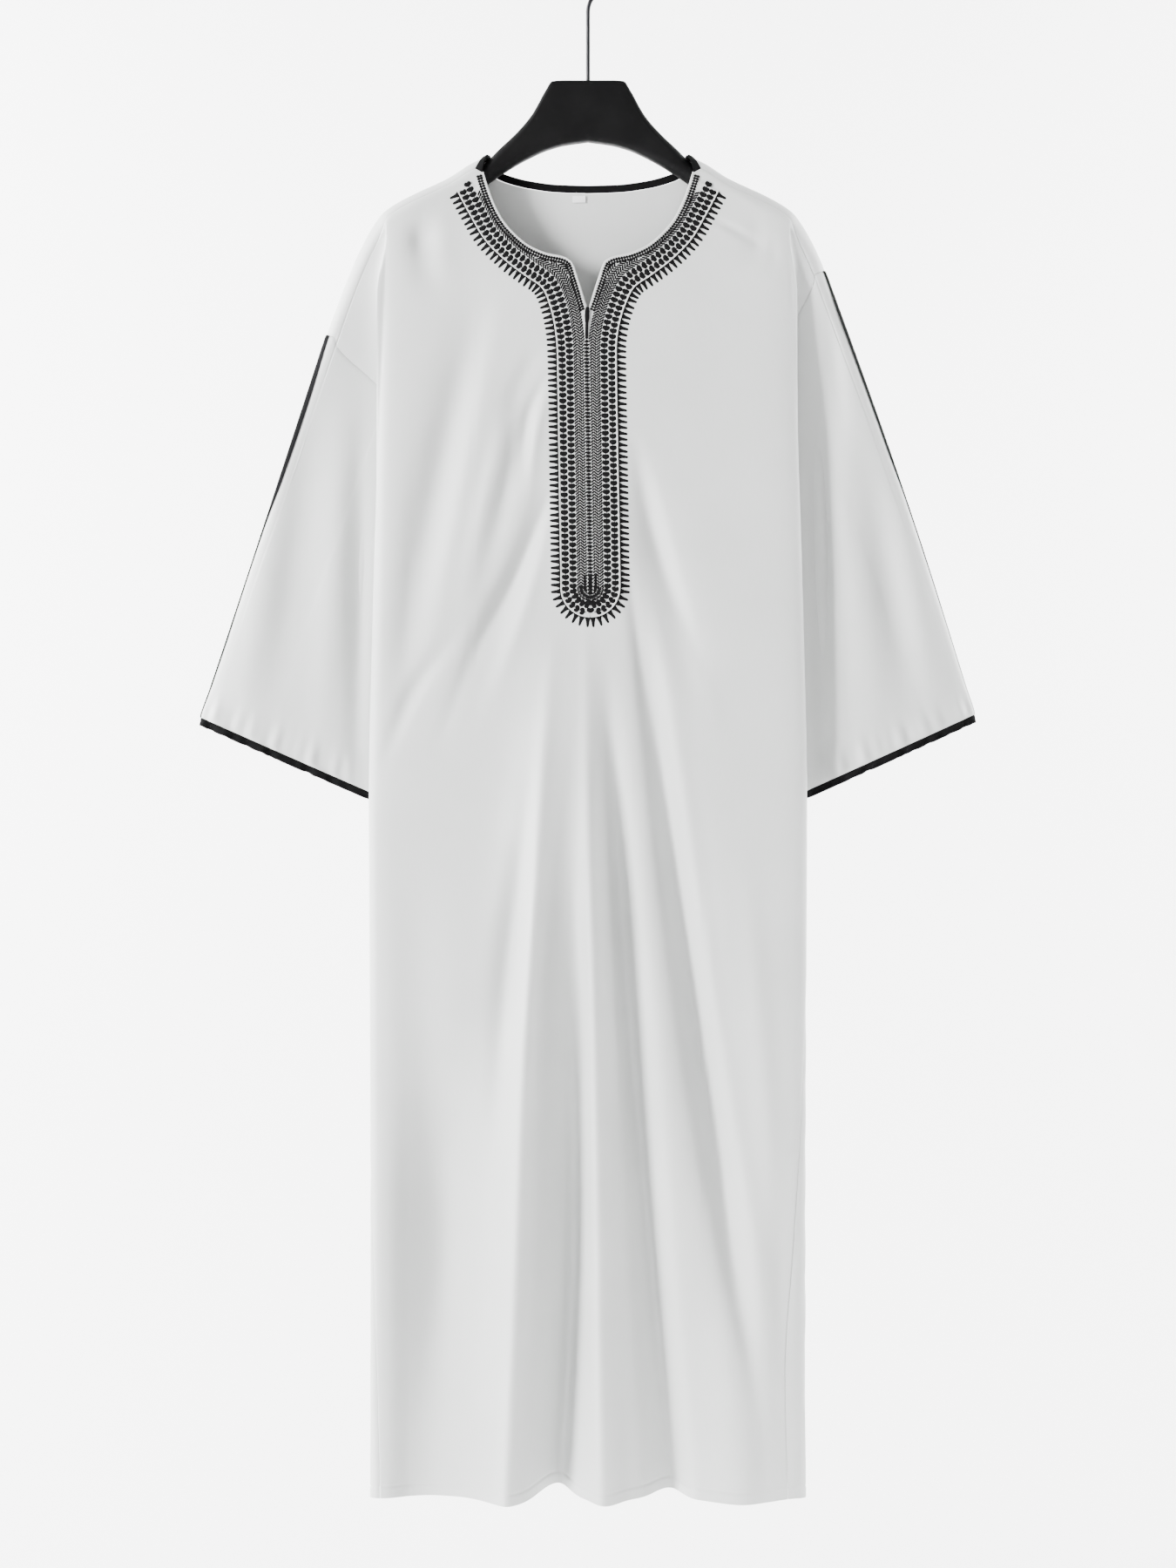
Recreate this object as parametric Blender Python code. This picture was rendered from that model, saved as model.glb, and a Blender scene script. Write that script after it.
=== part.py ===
"""A wide-sleeved thobe robe of light satin twill, hanging on a shaped plastic hanger.

The origin is the bearing point inside the curl of the hook, +Z is up and the front faces -Y.
Lengths below are millimetres. A "drop" is a height measured down from the origin, and left and
right are as seen from the front. Every cloth piece is a wall laid on both sides of a middle
surface, and neighbours share the stations of their seam so that its two edges stay parallel.
"""

import math

import bpy
import numpy as np
from mathutils import Vector
from mathutils.bvhtree import BVHTree

MM = 0.001

# Driving dimensions of the cloth
WALL = 1.2
SEAM = 0.3
UNDERARM = 590.0
HEM = 1500.0
HEM_FOLLOWS_FOLDS = 0.35
NECK_HALF = 110.0
BINDING_WIDTH = 7.5
BINDING_THICK = 2.2
BINDING_CLEAR = 0.6
PIPING_WIDTH = 1.3
PIPING_THICK = 1.6
TUCK_DROP = 62.0
SLEEVE_CLEAR = 0.7

# The top of the shoulders and of the sleeves' set-in line, seen from the front
SHOULDER_COLUMNS = ("x", "drop")
SHOULDER = (
    (0.0, 176.0),
    (60.0, 184.0),
    (113.0, 206.5),
    (136.0, 221.0),
    (172.0, 238.0),
    (186.0, 245.5),
    (199.0, 254.5),
    (207.0, 264.5),
    (218.0, 283.0),
    (232.0, 314.0),
    (255.0, 374.0),
)

# How far the shoulder line runs before the sleeve is set on, and where each sleeve ends
SLEEVE_COLUMNS = ("side", "set_on_x", "cuff_out_x", "cuff_out_drop", "cuff_in_x", "cuff_in_drop", "belly")
SLEEVES = (
    ("left", 255.0, 377.0, 747.0, 205.0, 823.0, 0.0),
    ("right", 231.0, 376.5, 744.0, 205.0, 822.0, 4.0),
)

# Half the depth of the cloth where it rolls over the shoulder, and how far down the front the seam lies
ROLL_COLUMNS = ("x", "roll", "seam")
ROLL = (
    (0.0, 13.0, 16.0),
    (110.0, 14.0, 16.0),
    (180.0, 18.0, 18.0),
    (200.0, 17.0, 19.0),
    (218.0, 13.0, 20.0),
    (255.0, 9.0, 21.0),
)

# Half of the front neckline, from the shoulder seam to the foot of the slit
NECKLINE_COLUMNS = ("x", "drop")
NECKLINE = (
    (0.0, 357.0),
    (3.0, 347.0),
    (12.0, 318.0),
    (16.5, 305.5),
    (24.0, 301.0),
    (40.0, 297.5),
    (56.0, 290.5),
    (71.0, 278.5),
    (83.0, 264.5),
    (92.0, 248.0),
    (99.0, 230.0),
    (104.0, 214.0),
)

# Half of the back neckline, where the cloth meets the black binding
BACK_NECK_COLUMNS = ("x", "drop")
BACK_NECK = ((0.0, 233.5), (30.0, 232.5), (60.0, 228.5), (85.0, 221.5), (98.0, 214.0))

# Sections of the body below the underarm
SECTION_COLUMNS = ("drop", "half_width", "front", "back", "tuck")
SECTIONS = (
    (590.0, 207.0, -31.0, 28.0, 9.0),
    (650.0, 208.5, -32.0, 29.0, 17.0),
    (830.0, 212.0, -35.0, 31.0, 19.0),
    (1010.0, 211.0, -38.0, 34.0, 14.0),
    (1250.0, 210.0, -42.0, 38.0, 8.0),
    (1515.0, 210.0, -46.0, 42.0, 4.0),
)

# How far each side seam lies behind the front fold edge, or in front of it where negative
SIDE_SEAM_COLUMNS = ("drop", "left", "right")
SIDE_SEAMS = (
    (590.0, 26.0, 26.0),
    (830.0, 17.0, 13.0),
    (1010.0, 9.0, 0.0),
    (1150.0, 1.0, -8.0),
    (1260.0, -4.0, -15.0),
    (1380.0, -9.0, -23.0),
    (1515.0, -13.0, -20.0),
)

# Folds, a row each: depth is positive for a ridge, and end is the share of it left at the lowest point
FOLD_COLUMNS = ("depth", "wide", "x0", "drop0", "x1", "drop1", "x2", "drop2", "end")
FRONT_FOLDS = (
    (-7.0, 22.0, -104.0, 300.0, -149.0, 523.0, -196.0, 760.0, 0.0),
    (-6.0, 16.0, -34.0, 520.0, -72.0, 616.0, -123.0, 760.0, 0.0),
    (-3.5, 10.0, -46.0, 380.0, -72.0, 438.0, -82.0, 500.0, 0.0),
    (-7.0, 20.0, 40.0, 490.0, 68.0, 600.0, 108.0, 740.0, 0.0),
    (15.0, 26.0, -30.0, 667.0, -55.0, 948.0, -78.0, 1512.0, 0.9),
    (-7.0, 15.0, -58.0, 850.0, -74.0, 965.0, -88.0, 1080.0, 0.0),
    (-24.0, 19.0, -17.0, 900.0, -17.0, 1230.0, -34.0, 1512.0, 1.1),
    (13.0, 17.0, 3.0, 667.0, 5.0, 1067.0, 18.0, 1512.0, 1.0),
    (-15.0, 17.0, 13.0, 690.0, 36.0, 965.0, 76.0, 1512.0, 1.2),
    (-13.0, 24.0, 50.0, 655.0, 112.0, 1067.0, 172.0, 1440.0, 0.1),
    (-13.0, 44.0, -136.0, 1090.0, -134.0, 1240.0, -132.0, 1420.0, 0.2),
    (12.0, 38.0, 150.0, 1180.0, 150.0, 1380.0, 152.0, 1512.0, 1.0),
    (-6.0, 20.0, -170.0, 236.0, -166.0, 262.0, -160.0, 300.0, 0.0),
    (-4.0, 16.0, 168.0, 240.0, 172.0, 262.0, 160.0, 310.0, 0.0),
)
BACK_FOLDS = (
    (6.0, 32.0, -60.0, 420.0, -75.0, 900.0, -96.0, 1512.0, 1.0),
    (-7.0, 26.0, -20.0, 560.0, -28.0, 1100.0, -44.0, 1512.0, 1.1),
    (7.0, 28.0, 14.0, 640.0, 12.0, 1100.0, 6.0, 1512.0, 1.0),
    (-8.0, 24.0, 44.0, 520.0, 62.0, 1000.0, 70.0, 1512.0, 1.0),
    (7.0, 32.0, 100.0, 600.0, 120.0, 1000.0, 128.0, 1512.0, 0.9),
    (-6.0, 26.0, -110.0, 300.0, -130.0, 480.0, -150.0, 700.0, 0.0),
    (-6.0, 24.0, 110.0, 300.0, 134.0, 480.0, 150.0, 680.0, 0.0),
)

# Stations across half a panel, as x on the shoulder line, and up and down it
NECK_STATIONS = (0.0, 3.0, 8.0, 12.0, 16.5, 27.0, 41.0, 56.0, 71.0, 83.0, 92.0, 98.0, 103.0)
BACK_NECK_STATIONS = (0.0, 20.0, 40.0, 60.0, 78.0, 91.0, 98.0, 102.0, 106.0)
SHOULDER_STATIONS = (110.0, 128.0, 147.0, 165.0, 180.0, 190.0, 198.0)
FLAP_STATIONS = 5
FRONT_TOP_ROWS = 9
BACK_WRAP_ROWS = 5
BACK_FALL_ROWS = 7
LOWER_ROWS = 15
SLEEVE_ROWS = 9
SLEEVE_FOLD_ROW = 2

# Where along the section the cloth keeps its width, where the back passes the shoulder's end,
# and how far from the fold edges the folds of the front and of the back die away
SECTION_STEADY = 150.0
BACK_REACH = 190.0
FRONT_FOLDS_STOP = 6.0
BACK_FOLDS_START = 62.0
FOLDS_FADE = 34.0
FOLDS_SETTLE = 45.0

# The sleeve's open end and the tape on its top fold
CUFF_HALF_DEPTH = 14.0
CUFF_BEHIND = 4.0
TAPE_THICK = 0.7
TAPE_CLEAR = 0.5
TAPE_SET_BACK = 0.06

# How far the tape reaches in front of the fold, or stops behind it where negative, at shares of the sleeve
TAPE_COLUMNS = ("share", "left", "right")
TAPE_AHEAD = (
    (0.0, 1.8, 2.6),
    (0.12, 3.0, 4.2),
    (0.38, 2.6, 3.4),
    (0.52, 1.2, 0.6),
    (0.64, 0.9, -1.2),
    (0.8, 2.6, -2.0),
    (0.92, 2.2, -2.0),
    (1.0, 0.8, -2.0),
)

# The embroidered band, as its outer edge from the shoulder seam to the foot of the placket
BAND_COLUMNS = ("x", "drop")
BAND_OUTER = (
    (126.5, 236.0),
    (114.0, 259.5),
    (100.0, 283.0),
    (81.0, 302.5),
    (61.0, 318.0),
    (44.5, 330.0),
    (36.0, 348.0),
    (31.0, 367.0),
    (28.5, 390.0),
    (28.3, 484.0),
    (28.3, 577.0),
    (28.3, 616.0),
)
PLACKET_HALF = 28.3
PLACKET_FOOT = 622.0
SLIT_GAP = 0.4
BAND_THICK = 0.9
BAND_LIFT = 0.45
LEAN_COLUMNS = ("drop", "x")
LEAN = ((387.0, -1.3), (613.0, 2.3))

# The label, the bar tack, the hanger and its hook
LABEL = (12.8, 6.8, 0.6)
LABEL_X = -8.9
LABEL_TOP = 235.5
TACK = (3.2, 17.0, 1.4)
TACK_DROP = 371.5
ROD_RADIUS = 2.1
CURL_RADIUS = 22.0
HANGER_TOP = 125.8
HANGER_COLUMNS = ("x", "top", "bottom", "half_depth", "squareness")
HANGER = (
    (0.0, 125.8, 185.5, 10.0, 0.55),
    (24.0, 125.8, 189.0, 10.0, 0.55),
    (35.0, 126.6, 192.0, 10.0, 0.55),
    (41.0, 135.0, 194.0, 10.0, 0.6),
    (55.0, 159.5, 200.5, 10.2, 0.7),
    (69.0, 176.0, 208.0, 10.6, 0.8),
    (88.0, 194.0, 220.0, 11.0, 0.9),
    (95.0, 201.0, 225.0, 11.0, 1.0),
    (102.0, 206.6, 230.0, 11.2, 1.0),
    (110.0, 210.5, 235.0, 11.6, 1.0),
    (128.0, 218.4, 246.5, 13.0, 1.0),
    (147.0, 228.2, 258.0, 14.2, 1.0),
    (165.0, 236.6, 268.0, 15.2, 1.0),
    (180.0, 244.2, 275.0, 15.6, 1.0),
    (190.0, 251.0, 278.0, 13.6, 1.0),
    (195.0, 257.0, 277.0, 9.5, 1.0),
    (197.5, 262.0, 274.0, 4.5, 1.0),
)


def table(rows, names):
    """The rows of a table as one array for each named column."""
    return dict(zip(names, np.array(rows, float).T))


def smooth(at, stations, values):
    """A cubic curve through the stations that never overshoots them."""
    step = np.diff(stations)
    chord = np.diff(values) / step
    slope = np.zeros(len(values))
    product = chord[1:] * chord[:-1]
    turning = product > 0
    slope[1:-1][turning] = 2 * product[turning] / (chord[1:] + chord[:-1])[turning]
    slope[0] = chord[0]
    slope[-1] = chord[-1]
    at = np.clip(at, stations[0], stations[-1])
    i = np.clip(np.searchsorted(stations, at) - 1, 0, len(step) - 1)
    t = (at - stations[i]) / step[i]
    start = values[i] * (2 * t**3 - 3 * t**2 + 1) + slope[i] * step[i] * (t**3 - 2 * t**2 + t)
    return start + values[i + 1] * (3 * t**2 - 2 * t**3) + slope[i + 1] * step[i] * (t**3 - t**2)


def ease(t):
    """A soft step from 0 to 1."""
    t = np.clip(t, 0.0, 1.0)
    return t * t * (3 - 2 * t)


def lengths_along(points):
    """The distance run at each point of a line of points."""
    return np.concatenate([[0.0], np.cumsum(np.linalg.norm(np.diff(points, axis=0), axis=1))])


def along(points, runs):
    """The points that lie the given distances along a line of points."""
    run = lengths_along(points)
    return np.stack([np.interp(runs, run, points[:, k]) for k in range(points.shape[1])], axis=-1)


def rounded(knots, steps=12):
    """A soft curve through the knots, as many short chords."""
    knots = np.array(knots, float)
    before = np.vstack([2 * knots[0] - knots[1], knots[:-1]])
    after = np.vstack([knots[1:], 2 * knots[-1] - knots[-2]])
    slope = (after - before) / 2
    t = np.linspace(0, 1, steps, endpoint=False)[:, None]
    pieces = []
    for a, b, u, v in zip(knots[:-1], knots[1:], slope[:-1], slope[1:]):
        limit = np.linalg.norm(b - a)
        u = u * min(1.0, limit / max(np.linalg.norm(u), 1e-9))
        v = v * min(1.0, limit / max(np.linalg.norm(v), 1e-9))
        pieces.append(
            a * (2 * t**3 - 3 * t**2 + 1)
            + u * (t**3 - 2 * t**2 + t)
            + b * (3 * t**2 - 2 * t**3)
            + v * (t**3 - t**2)
        )
    return np.vstack(pieces + [knots[-1:]])


def grid_normals(grid, ring=False):
    """Unit normals of a grid of points, from the run of its rows and of its columns."""
    down = np.gradient(grid, axis=0)
    if ring:
        across = (np.roll(grid, -1, axis=1) - np.roll(grid, 1, axis=1)) / 2
    else:
        across = np.gradient(grid, axis=1)
    normal = np.cross(down, across)
    return normal / np.maximum(np.linalg.norm(normal, axis=2, keepdims=True), 1e-9)


def material_for(name, colour, roughness, metallic=0.0, sheen=0.0):
    material = bpy.data.materials.new(name)
    material.use_nodes = True
    shader = material.node_tree.nodes["Principled BSDF"]
    shader.inputs["Base Color"].default_value = (*colour, 1.0)
    shader.inputs["Roughness"].default_value = roughness
    shader.inputs["Metallic"].default_value = metallic
    shader.inputs["Sheen Weight"].default_value = sheen
    material.diffuse_color = (*colour, 1.0)
    return material


def add_solid(name, points, faces, material):
    """One named object from points in millimetres and triangles or quads that face out."""
    mesh = bpy.data.meshes.new(name)
    mesh.from_pydata((np.asarray(points) * MM).tolist(), [], np.asarray(faces).tolist())
    mesh.materials.append(material)
    mesh.shade_smooth()
    mesh.set_sharp_from_angle(angle=math.radians(50))
    thing = bpy.data.objects.new(name, mesh)
    bpy.context.scene.collection.objects.link(thing)
    return thing


def grid_faces(rows, columns, ring):
    """The two triangles of every cell of a grid, which may close on itself sideways."""
    i, j = np.meshgrid(np.arange(rows - 1), np.arange(columns if ring else columns - 1), indexing="ij")
    k = (j + 1) % columns
    a, b, c, d = i * columns + j, i * columns + k, (i + 1) * columns + k, (i + 1) * columns + j
    return np.concatenate([np.stack([a, c, b], -1).reshape(-1, 3), np.stack([a, d, c], -1).reshape(-1, 3)])


def rim_faces(border, shift):
    """The strip that joins a border of the outer wall to the same border of the inner wall."""
    a = border
    b = np.roll(border, -1)
    return np.concatenate([np.stack([a, b, b + shift], -1), np.stack([a, b + shift, a + shift], -1)])


def add_wall(name, grid, material, thick=WALL, ring=False, normals=None, outward=1.0):
    """Cloth as a closed wall: the grid of its middle surface moved out and in by half its thickness."""
    rows, columns = grid.shape[:2]
    if normals is None:
        normals = grid_normals(grid, ring) * outward
    outer = (grid + normals * thick / 2).reshape(-1, 3)
    inner = (grid - normals * thick / 2).reshape(-1, 3)
    count = rows * columns
    skin = grid_faces(rows, columns, ring)
    if outward < 0:
        skin = skin[:, ::-1]
    index = np.arange(count).reshape(rows, columns)
    if ring:
        borders = [index[0], index[-1][::-1]]
    else:
        around = [index[0, :-1], index[:-1, -1], index[-1, :0:-1], index[:0:-1, 0]]
        borders = [np.concatenate(around)]
    rims = np.concatenate([rim_faces(border, count) for border in borders])
    if outward < 0:
        rims = rims[:, ::-1]
    faces = np.concatenate([skin, skin[:, ::-1] + count, rims])
    return add_solid(name, np.concatenate([outer, inner]), faces, material)


def clear_scene():
    for thing in list(bpy.data.objects):
        bpy.data.objects.remove(thing, do_unlink=True)


def fold_height(folds, x, drop):
    """How far the cloth stands proud of its plain section: a fold is a ridge or a trough on a bent line."""
    total = np.zeros(np.broadcast(x, drop).shape)
    for row in folds:
        fold = dict(zip(FOLD_COLUMNS, row))
        stations = np.array([fold["drop0"], fold["drop1"], fold["drop2"]])
        line = smooth(drop, stations, np.array([fold["x0"], fold["x1"], fold["x2"]]))
        strength = smooth(drop, stations, np.array([0.0, 1.0, fold["end"]]))
        total = total + fold["depth"] * strength * np.exp(-(((x - line) / fold["wide"]) ** 2))
    return total


def half_section(drop):
    """One side of the body's section, from the middle of the front round to the middle of the back."""
    cut = table(SECTIONS, SECTION_COLUMNS)
    w, front, back, tuck = (smooth(drop, cut["drop"], cut[key]) for key in SECTION_COLUMNS[1:])
    knots = (
        (0.0, front),
        (0.5 * w, front),
        (w - 24, front + 0.4),
        (w - 7, front + 2.2),
        (w, front + 8),
        (w - 5, front + 15),
        (w - tuck, front + 27),
        (w - tuck - 3, back - 15),
        (w - tuck - 14, back - 3),
        (0.5 * w, back),
        (0.0, back),
    )
    line = rounded(knots)
    edge = lengths_along(line)[np.argmax(line[:, 0])]
    return line, edge


class Side:
    """One side of the robe: the run of its shoulder line, its side seam and its sleeve."""

    def __init__(self, row):
        sleeve = dict(zip(SLEEVE_COLUMNS, row))
        self.name = sleeve["side"]
        self.sign = -1.0 if self.name == "left" else 1.0
        self.set_on = sleeve["set_on_x"]
        self.cuff_out_x = sleeve["cuff_out_x"]
        self.cuff_out_drop = sleeve["cuff_out_drop"]
        self.cuff_in_x = sleeve["cuff_in_x"]
        self.cuff_in_drop = sleeve["cuff_in_drop"]
        self.belly = sleeve["belly"]
        flap = np.linspace(SHOULDER_STATIONS[-1], self.set_on, FLAP_STATIONS + 1)[1:]
        self.shoulder = np.concatenate([SHOULDER_STATIONS, flap])
        seams = table(SIDE_SEAMS, SIDE_SEAM_COLUMNS)
        self.seam_drops = seams["drop"]
        self.seam_behind = seams[self.name]

    def side_seam(self, drop):
        return smooth(drop, self.seam_drops, self.seam_behind)


def shoulder_line(x):
    """The drop of the shoulder line at x, and the direction that lies down and in from it."""
    line = table(SHOULDER, SHOULDER_COLUMNS)
    drop = smooth(x, line["x"], line["drop"])
    rise = (smooth(x + 1, line["x"], line["drop"]) - smooth(x - 1, line["x"], line["drop"])) / 2
    rise = np.where(x >= line["x"][-1] - 1, 2.6, rise)
    lean = ease((x - 190) / 30)
    inward = np.stack([-lean * rise, np.ones_like(x)], -1)
    return drop, inward / np.linalg.norm(inward, axis=-1, keepdims=True)


def roll_at(x):
    roll = table(ROLL, ROLL_COLUMNS)
    return smooth(x, roll["x"], roll["roll"]), smooth(x, roll["x"], roll["seam"])


def section_run(station, side, drop, face):
    """Where a station of a panel lies on the section at a drop, as a distance from its middle."""
    line, edge = half_section(UNDERARM)
    whole = lengths_along(line)[-1]
    last = SHOULDER_STATIONS[-1]
    beyond = np.clip((station - last) / (side.set_on - last), 0, 1)
    seam_top = edge + side.side_seam(UNDERARM)
    low_line, low_edge = half_section(drop)
    seam_low = low_edge + side.side_seam(drop)
    reach = edge
    if face == "back":
        reach = BACK_REACH
        seam_top = whole - seam_top
        seam_low = lengths_along(low_line)[-1] - seam_low
    run = np.where(station <= last, station * reach / last, reach + beyond * (seam_top - reach))
    stretch = (seam_low - SECTION_STEADY) / (seam_top - SECTION_STEADY)
    return np.where(run <= SECTION_STEADY, run, SECTION_STEADY + (run - SECTION_STEADY) * stretch)


def section_points(station, side, drop, face):
    """Points of the body's section at a drop, folds left out, with how squarely each faces front or back."""
    line, edge = half_section(drop)
    whole = lengths_along(line)[-1]
    run = section_run(station, side, drop, face)
    from_front = run if face == "front" else whole - run
    flat = along(line, from_front)
    front_share = ease((edge - FRONT_FOLDS_STOP - from_front) / FOLDS_FADE)
    back_share = ease((from_front - edge - BACK_FOLDS_START) / FOLDS_FADE)
    return flat[:, 0] * side.sign, flat[:, 1], front_share, back_share


def folded(x, y, drop, front_share, back_share):
    """The section's depth with the folds of the front and of the back worked in."""
    front = fold_height(FRONT_FOLDS, x, drop) * front_share
    back = fold_height(BACK_FOLDS, x, drop) * back_share
    return y - front + back


def hem_drop(x, front_share, back_share):
    front = fold_height(FRONT_FOLDS, x, np.full_like(x, HEM)) * front_share
    back = fold_height(BACK_FOLDS, x, np.full_like(x, HEM)) * back_share
    return HEM + HEM_FOLLOWS_FOLDS * (front + back)


def fall(station, side, face, reach):
    """The cloth over and below the shoulder line: a roll round it, then a straight fall to the underarm.

    reach is the distance along the cloth from the shoulder line, negative on the front. The roll is
    an arc of its own radius, and past it each point goes evenly to its place on the underarm section.
    Beyond the front fold edge the cloth is drawn in behind that edge within a short drop.
    """
    drop, inward = shoulder_line(station)
    radius, _ = roll_at(station)
    arc = np.minimum(np.abs(reach), radius * math.pi / 2)
    straight = np.abs(reach) - arc
    turn = arc / radius
    dip = radius * (1 - np.cos(turn))
    out = np.sign(reach) * radius * np.sin(turn)
    start_x = station + dip * inward[:, 0]
    start_drop = drop + dip * inward[:, 1]
    x1, y1, front_share, back_share = section_points(station, side, UNDERARM, face)
    span = UNDERARM - start_drop
    share = np.clip(straight / span, 0, 1)
    quick = ease(straight / TUCK_DROP)
    beyond = 0.0 if face == "back" else ease((station - SHOULDER_STATIONS[-1] + 2) / 12)
    share_xy = share * (1 - beyond) + quick * beyond
    x = start_x * side.sign + (x1 - start_x * side.sign) * share_xy
    y = out + (y1 - out) * share_xy
    at = start_drop + span * share
    settle = ease(straight / FOLDS_SETTLE)
    y = folded(x, y, at, front_share * settle, back_share * settle)
    return np.stack([x, y, -at], -1)


def fall_length(station):
    drop, inward = shoulder_line(station)
    radius, _ = roll_at(station)
    return radius * math.pi / 2 + UNDERARM - drop - radius * inward[:, 1]


def reach_of_drop(station, wanted):
    """How far along the cloth a wanted drop lies, where that is on the straight fall or on the roll."""
    drop, inward = shoulder_line(station)
    radius, _ = roll_at(station)
    below = wanted - drop
    on_roll = radius * np.arccos(np.clip(1 - below / radius, -1, 1))
    return np.where(below > radius, radius * math.pi / 2 + below - radius, on_roll)


def front_half(side):
    """Half of the front panel, its rows from the neckline and shoulder seam down to the hem."""
    station = np.concatenate([NECK_STATIONS, side.shoulder])
    neck = table(NECKLINE, NECKLINE_COLUMNS)
    _, seam = roll_at(station)
    seam_reach = seam + SEAM / 2
    neck_reach = reach_of_drop(station, smooth(station, neck["x"], neck["drop"]))
    top = np.where(station < neck["x"][-1], np.maximum(neck_reach, seam_reach), seam_reach)
    length = fall_length(station)
    rows = []
    for share in np.linspace(0, 1, FRONT_TOP_ROWS) ** 1.35:
        rows.append(fall(station, side, "front", -(top + (length - top) * share)))
    return rows + lower_rows(station, side, "front")


def back_half(side):
    """Half of the back panel: over the shoulder from the seam on the front, then down to the hem."""
    station = np.concatenate([BACK_NECK_STATIONS, side.shoulder])
    neck = table(BACK_NECK, BACK_NECK_COLUMNS)
    radius, seam = roll_at(station)
    seam_reach = -(seam - SEAM / 2)
    neck_reach = reach_of_drop(station, smooth(station, neck["x"], neck["drop"]))
    crossing = ease((station - 96) / (NECK_HALF - 96))
    edge_reach = neck_reach + (seam_reach - neck_reach) * crossing
    top = np.where(station < NECK_HALF, edge_reach, seam_reach)
    rolled = np.maximum(radius * math.pi / 2 + 2, top + 8)
    length = fall_length(station)
    rows = []
    for share in np.linspace(0, 1, BACK_WRAP_ROWS + 1)[:-1]:
        rows.append(fall(station, side, "back", top + (rolled - top) * share))
    for share in np.linspace(0, 1, BACK_FALL_ROWS) ** 1.2:
        rows.append(fall(station, side, "back", rolled + (length - rolled) * share))
    return rows + lower_rows(station, side, "back")


def lower_rows(station, side, face):
    """Rows from just below the underarm to the hem, each on its own section of the body."""
    x, _, front_share, back_share = section_points(station, side, HEM, face)
    bottom = hem_drop(x, front_share, back_share)
    rows = []
    for share in np.linspace(0, 1, LOWER_ROWS + 1)[1:]:
        drop = UNDERARM + (HEM - UNDERARM) * share
        x, y, front_share, back_share = section_points(station, side, drop, face)
        at = UNDERARM + (bottom - UNDERARM) * share
        y = folded(x, y, at, front_share, back_share)
        rows.append(np.stack([x, y, -at], -1))
    return rows


def panel_grid(left_rows, right_rows):
    """Both halves as one grid that runs from the left seam to the right seam."""
    halves = zip(left_rows, right_rows)
    return np.array([np.concatenate([left[:0:-1], right]) for left, right in halves])


def part_at_seams(front, back, front_normals, back_normals, left_count, right_count):
    """Draws the two panels apart along their cut edges, and gives a seam's two edges the same slant."""
    for grid, column, inner in ((front, 0, 1), (front, -1, -2), (back, 0, 1), (back, -1, -2)):
        away = grid[:, inner] - grid[:, column]
        away = away / np.linalg.norm(away, axis=1, keepdims=True)
        grid[:, column] += away * SEAM / 2
    lower = slice(-LOWER_ROWS - 1, None)
    for column in (0, -1):
        shared = front_normals[lower, column] + back_normals[lower, column]
        shared /= np.linalg.norm(shared, axis=1, keepdims=True)
        front_normals[lower, column] = shared
        back_normals[lower, column] = shared
    for columns in (slice(0, left_count), slice(-right_count, None)):
        shared = front_normals[0, columns] + back_normals[0, columns]
        shared /= np.linalg.norm(shared, axis=1, keepdims=True)
        front_normals[0, columns] = shared
        back_normals[0, columns] = shared


def oval(half_width, half_depth, count=240):
    """A flattened closed loop, half round from its outer end: x runs in, y is the depth."""
    turn = np.linspace(0, math.pi, count)
    x = half_width * (1 - np.sign(np.cos(turn)) * np.abs(np.cos(turn)) ** 0.8)
    y = half_depth * np.abs(np.sin(turn)) ** 0.75
    return np.stack([x, y], -1)


def cuff_points(side, shares, face):
    """Points on the sleeve's open end at the given shares of the way from its top fold to its underarm."""
    run = np.array([side.cuff_out_x - side.cuff_in_x, side.cuff_in_drop - side.cuff_out_drop])
    half = oval(np.linalg.norm(run) / 2, CUFF_HALF_DEPTH)
    flat = along(half, shares * lengths_along(half)[-1])
    unit = run / np.linalg.norm(run)
    x = (side.cuff_out_x - flat[:, 0] * unit[0]) * side.sign
    drop = side.cuff_out_drop + flat[:, 0] * unit[1]
    away = -1.0 if face == "front" else 1.0
    y = CUFF_BEHIND * ease(shares) + away * flat[:, 1]
    return np.stack([x, y, -drop], -1)


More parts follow.
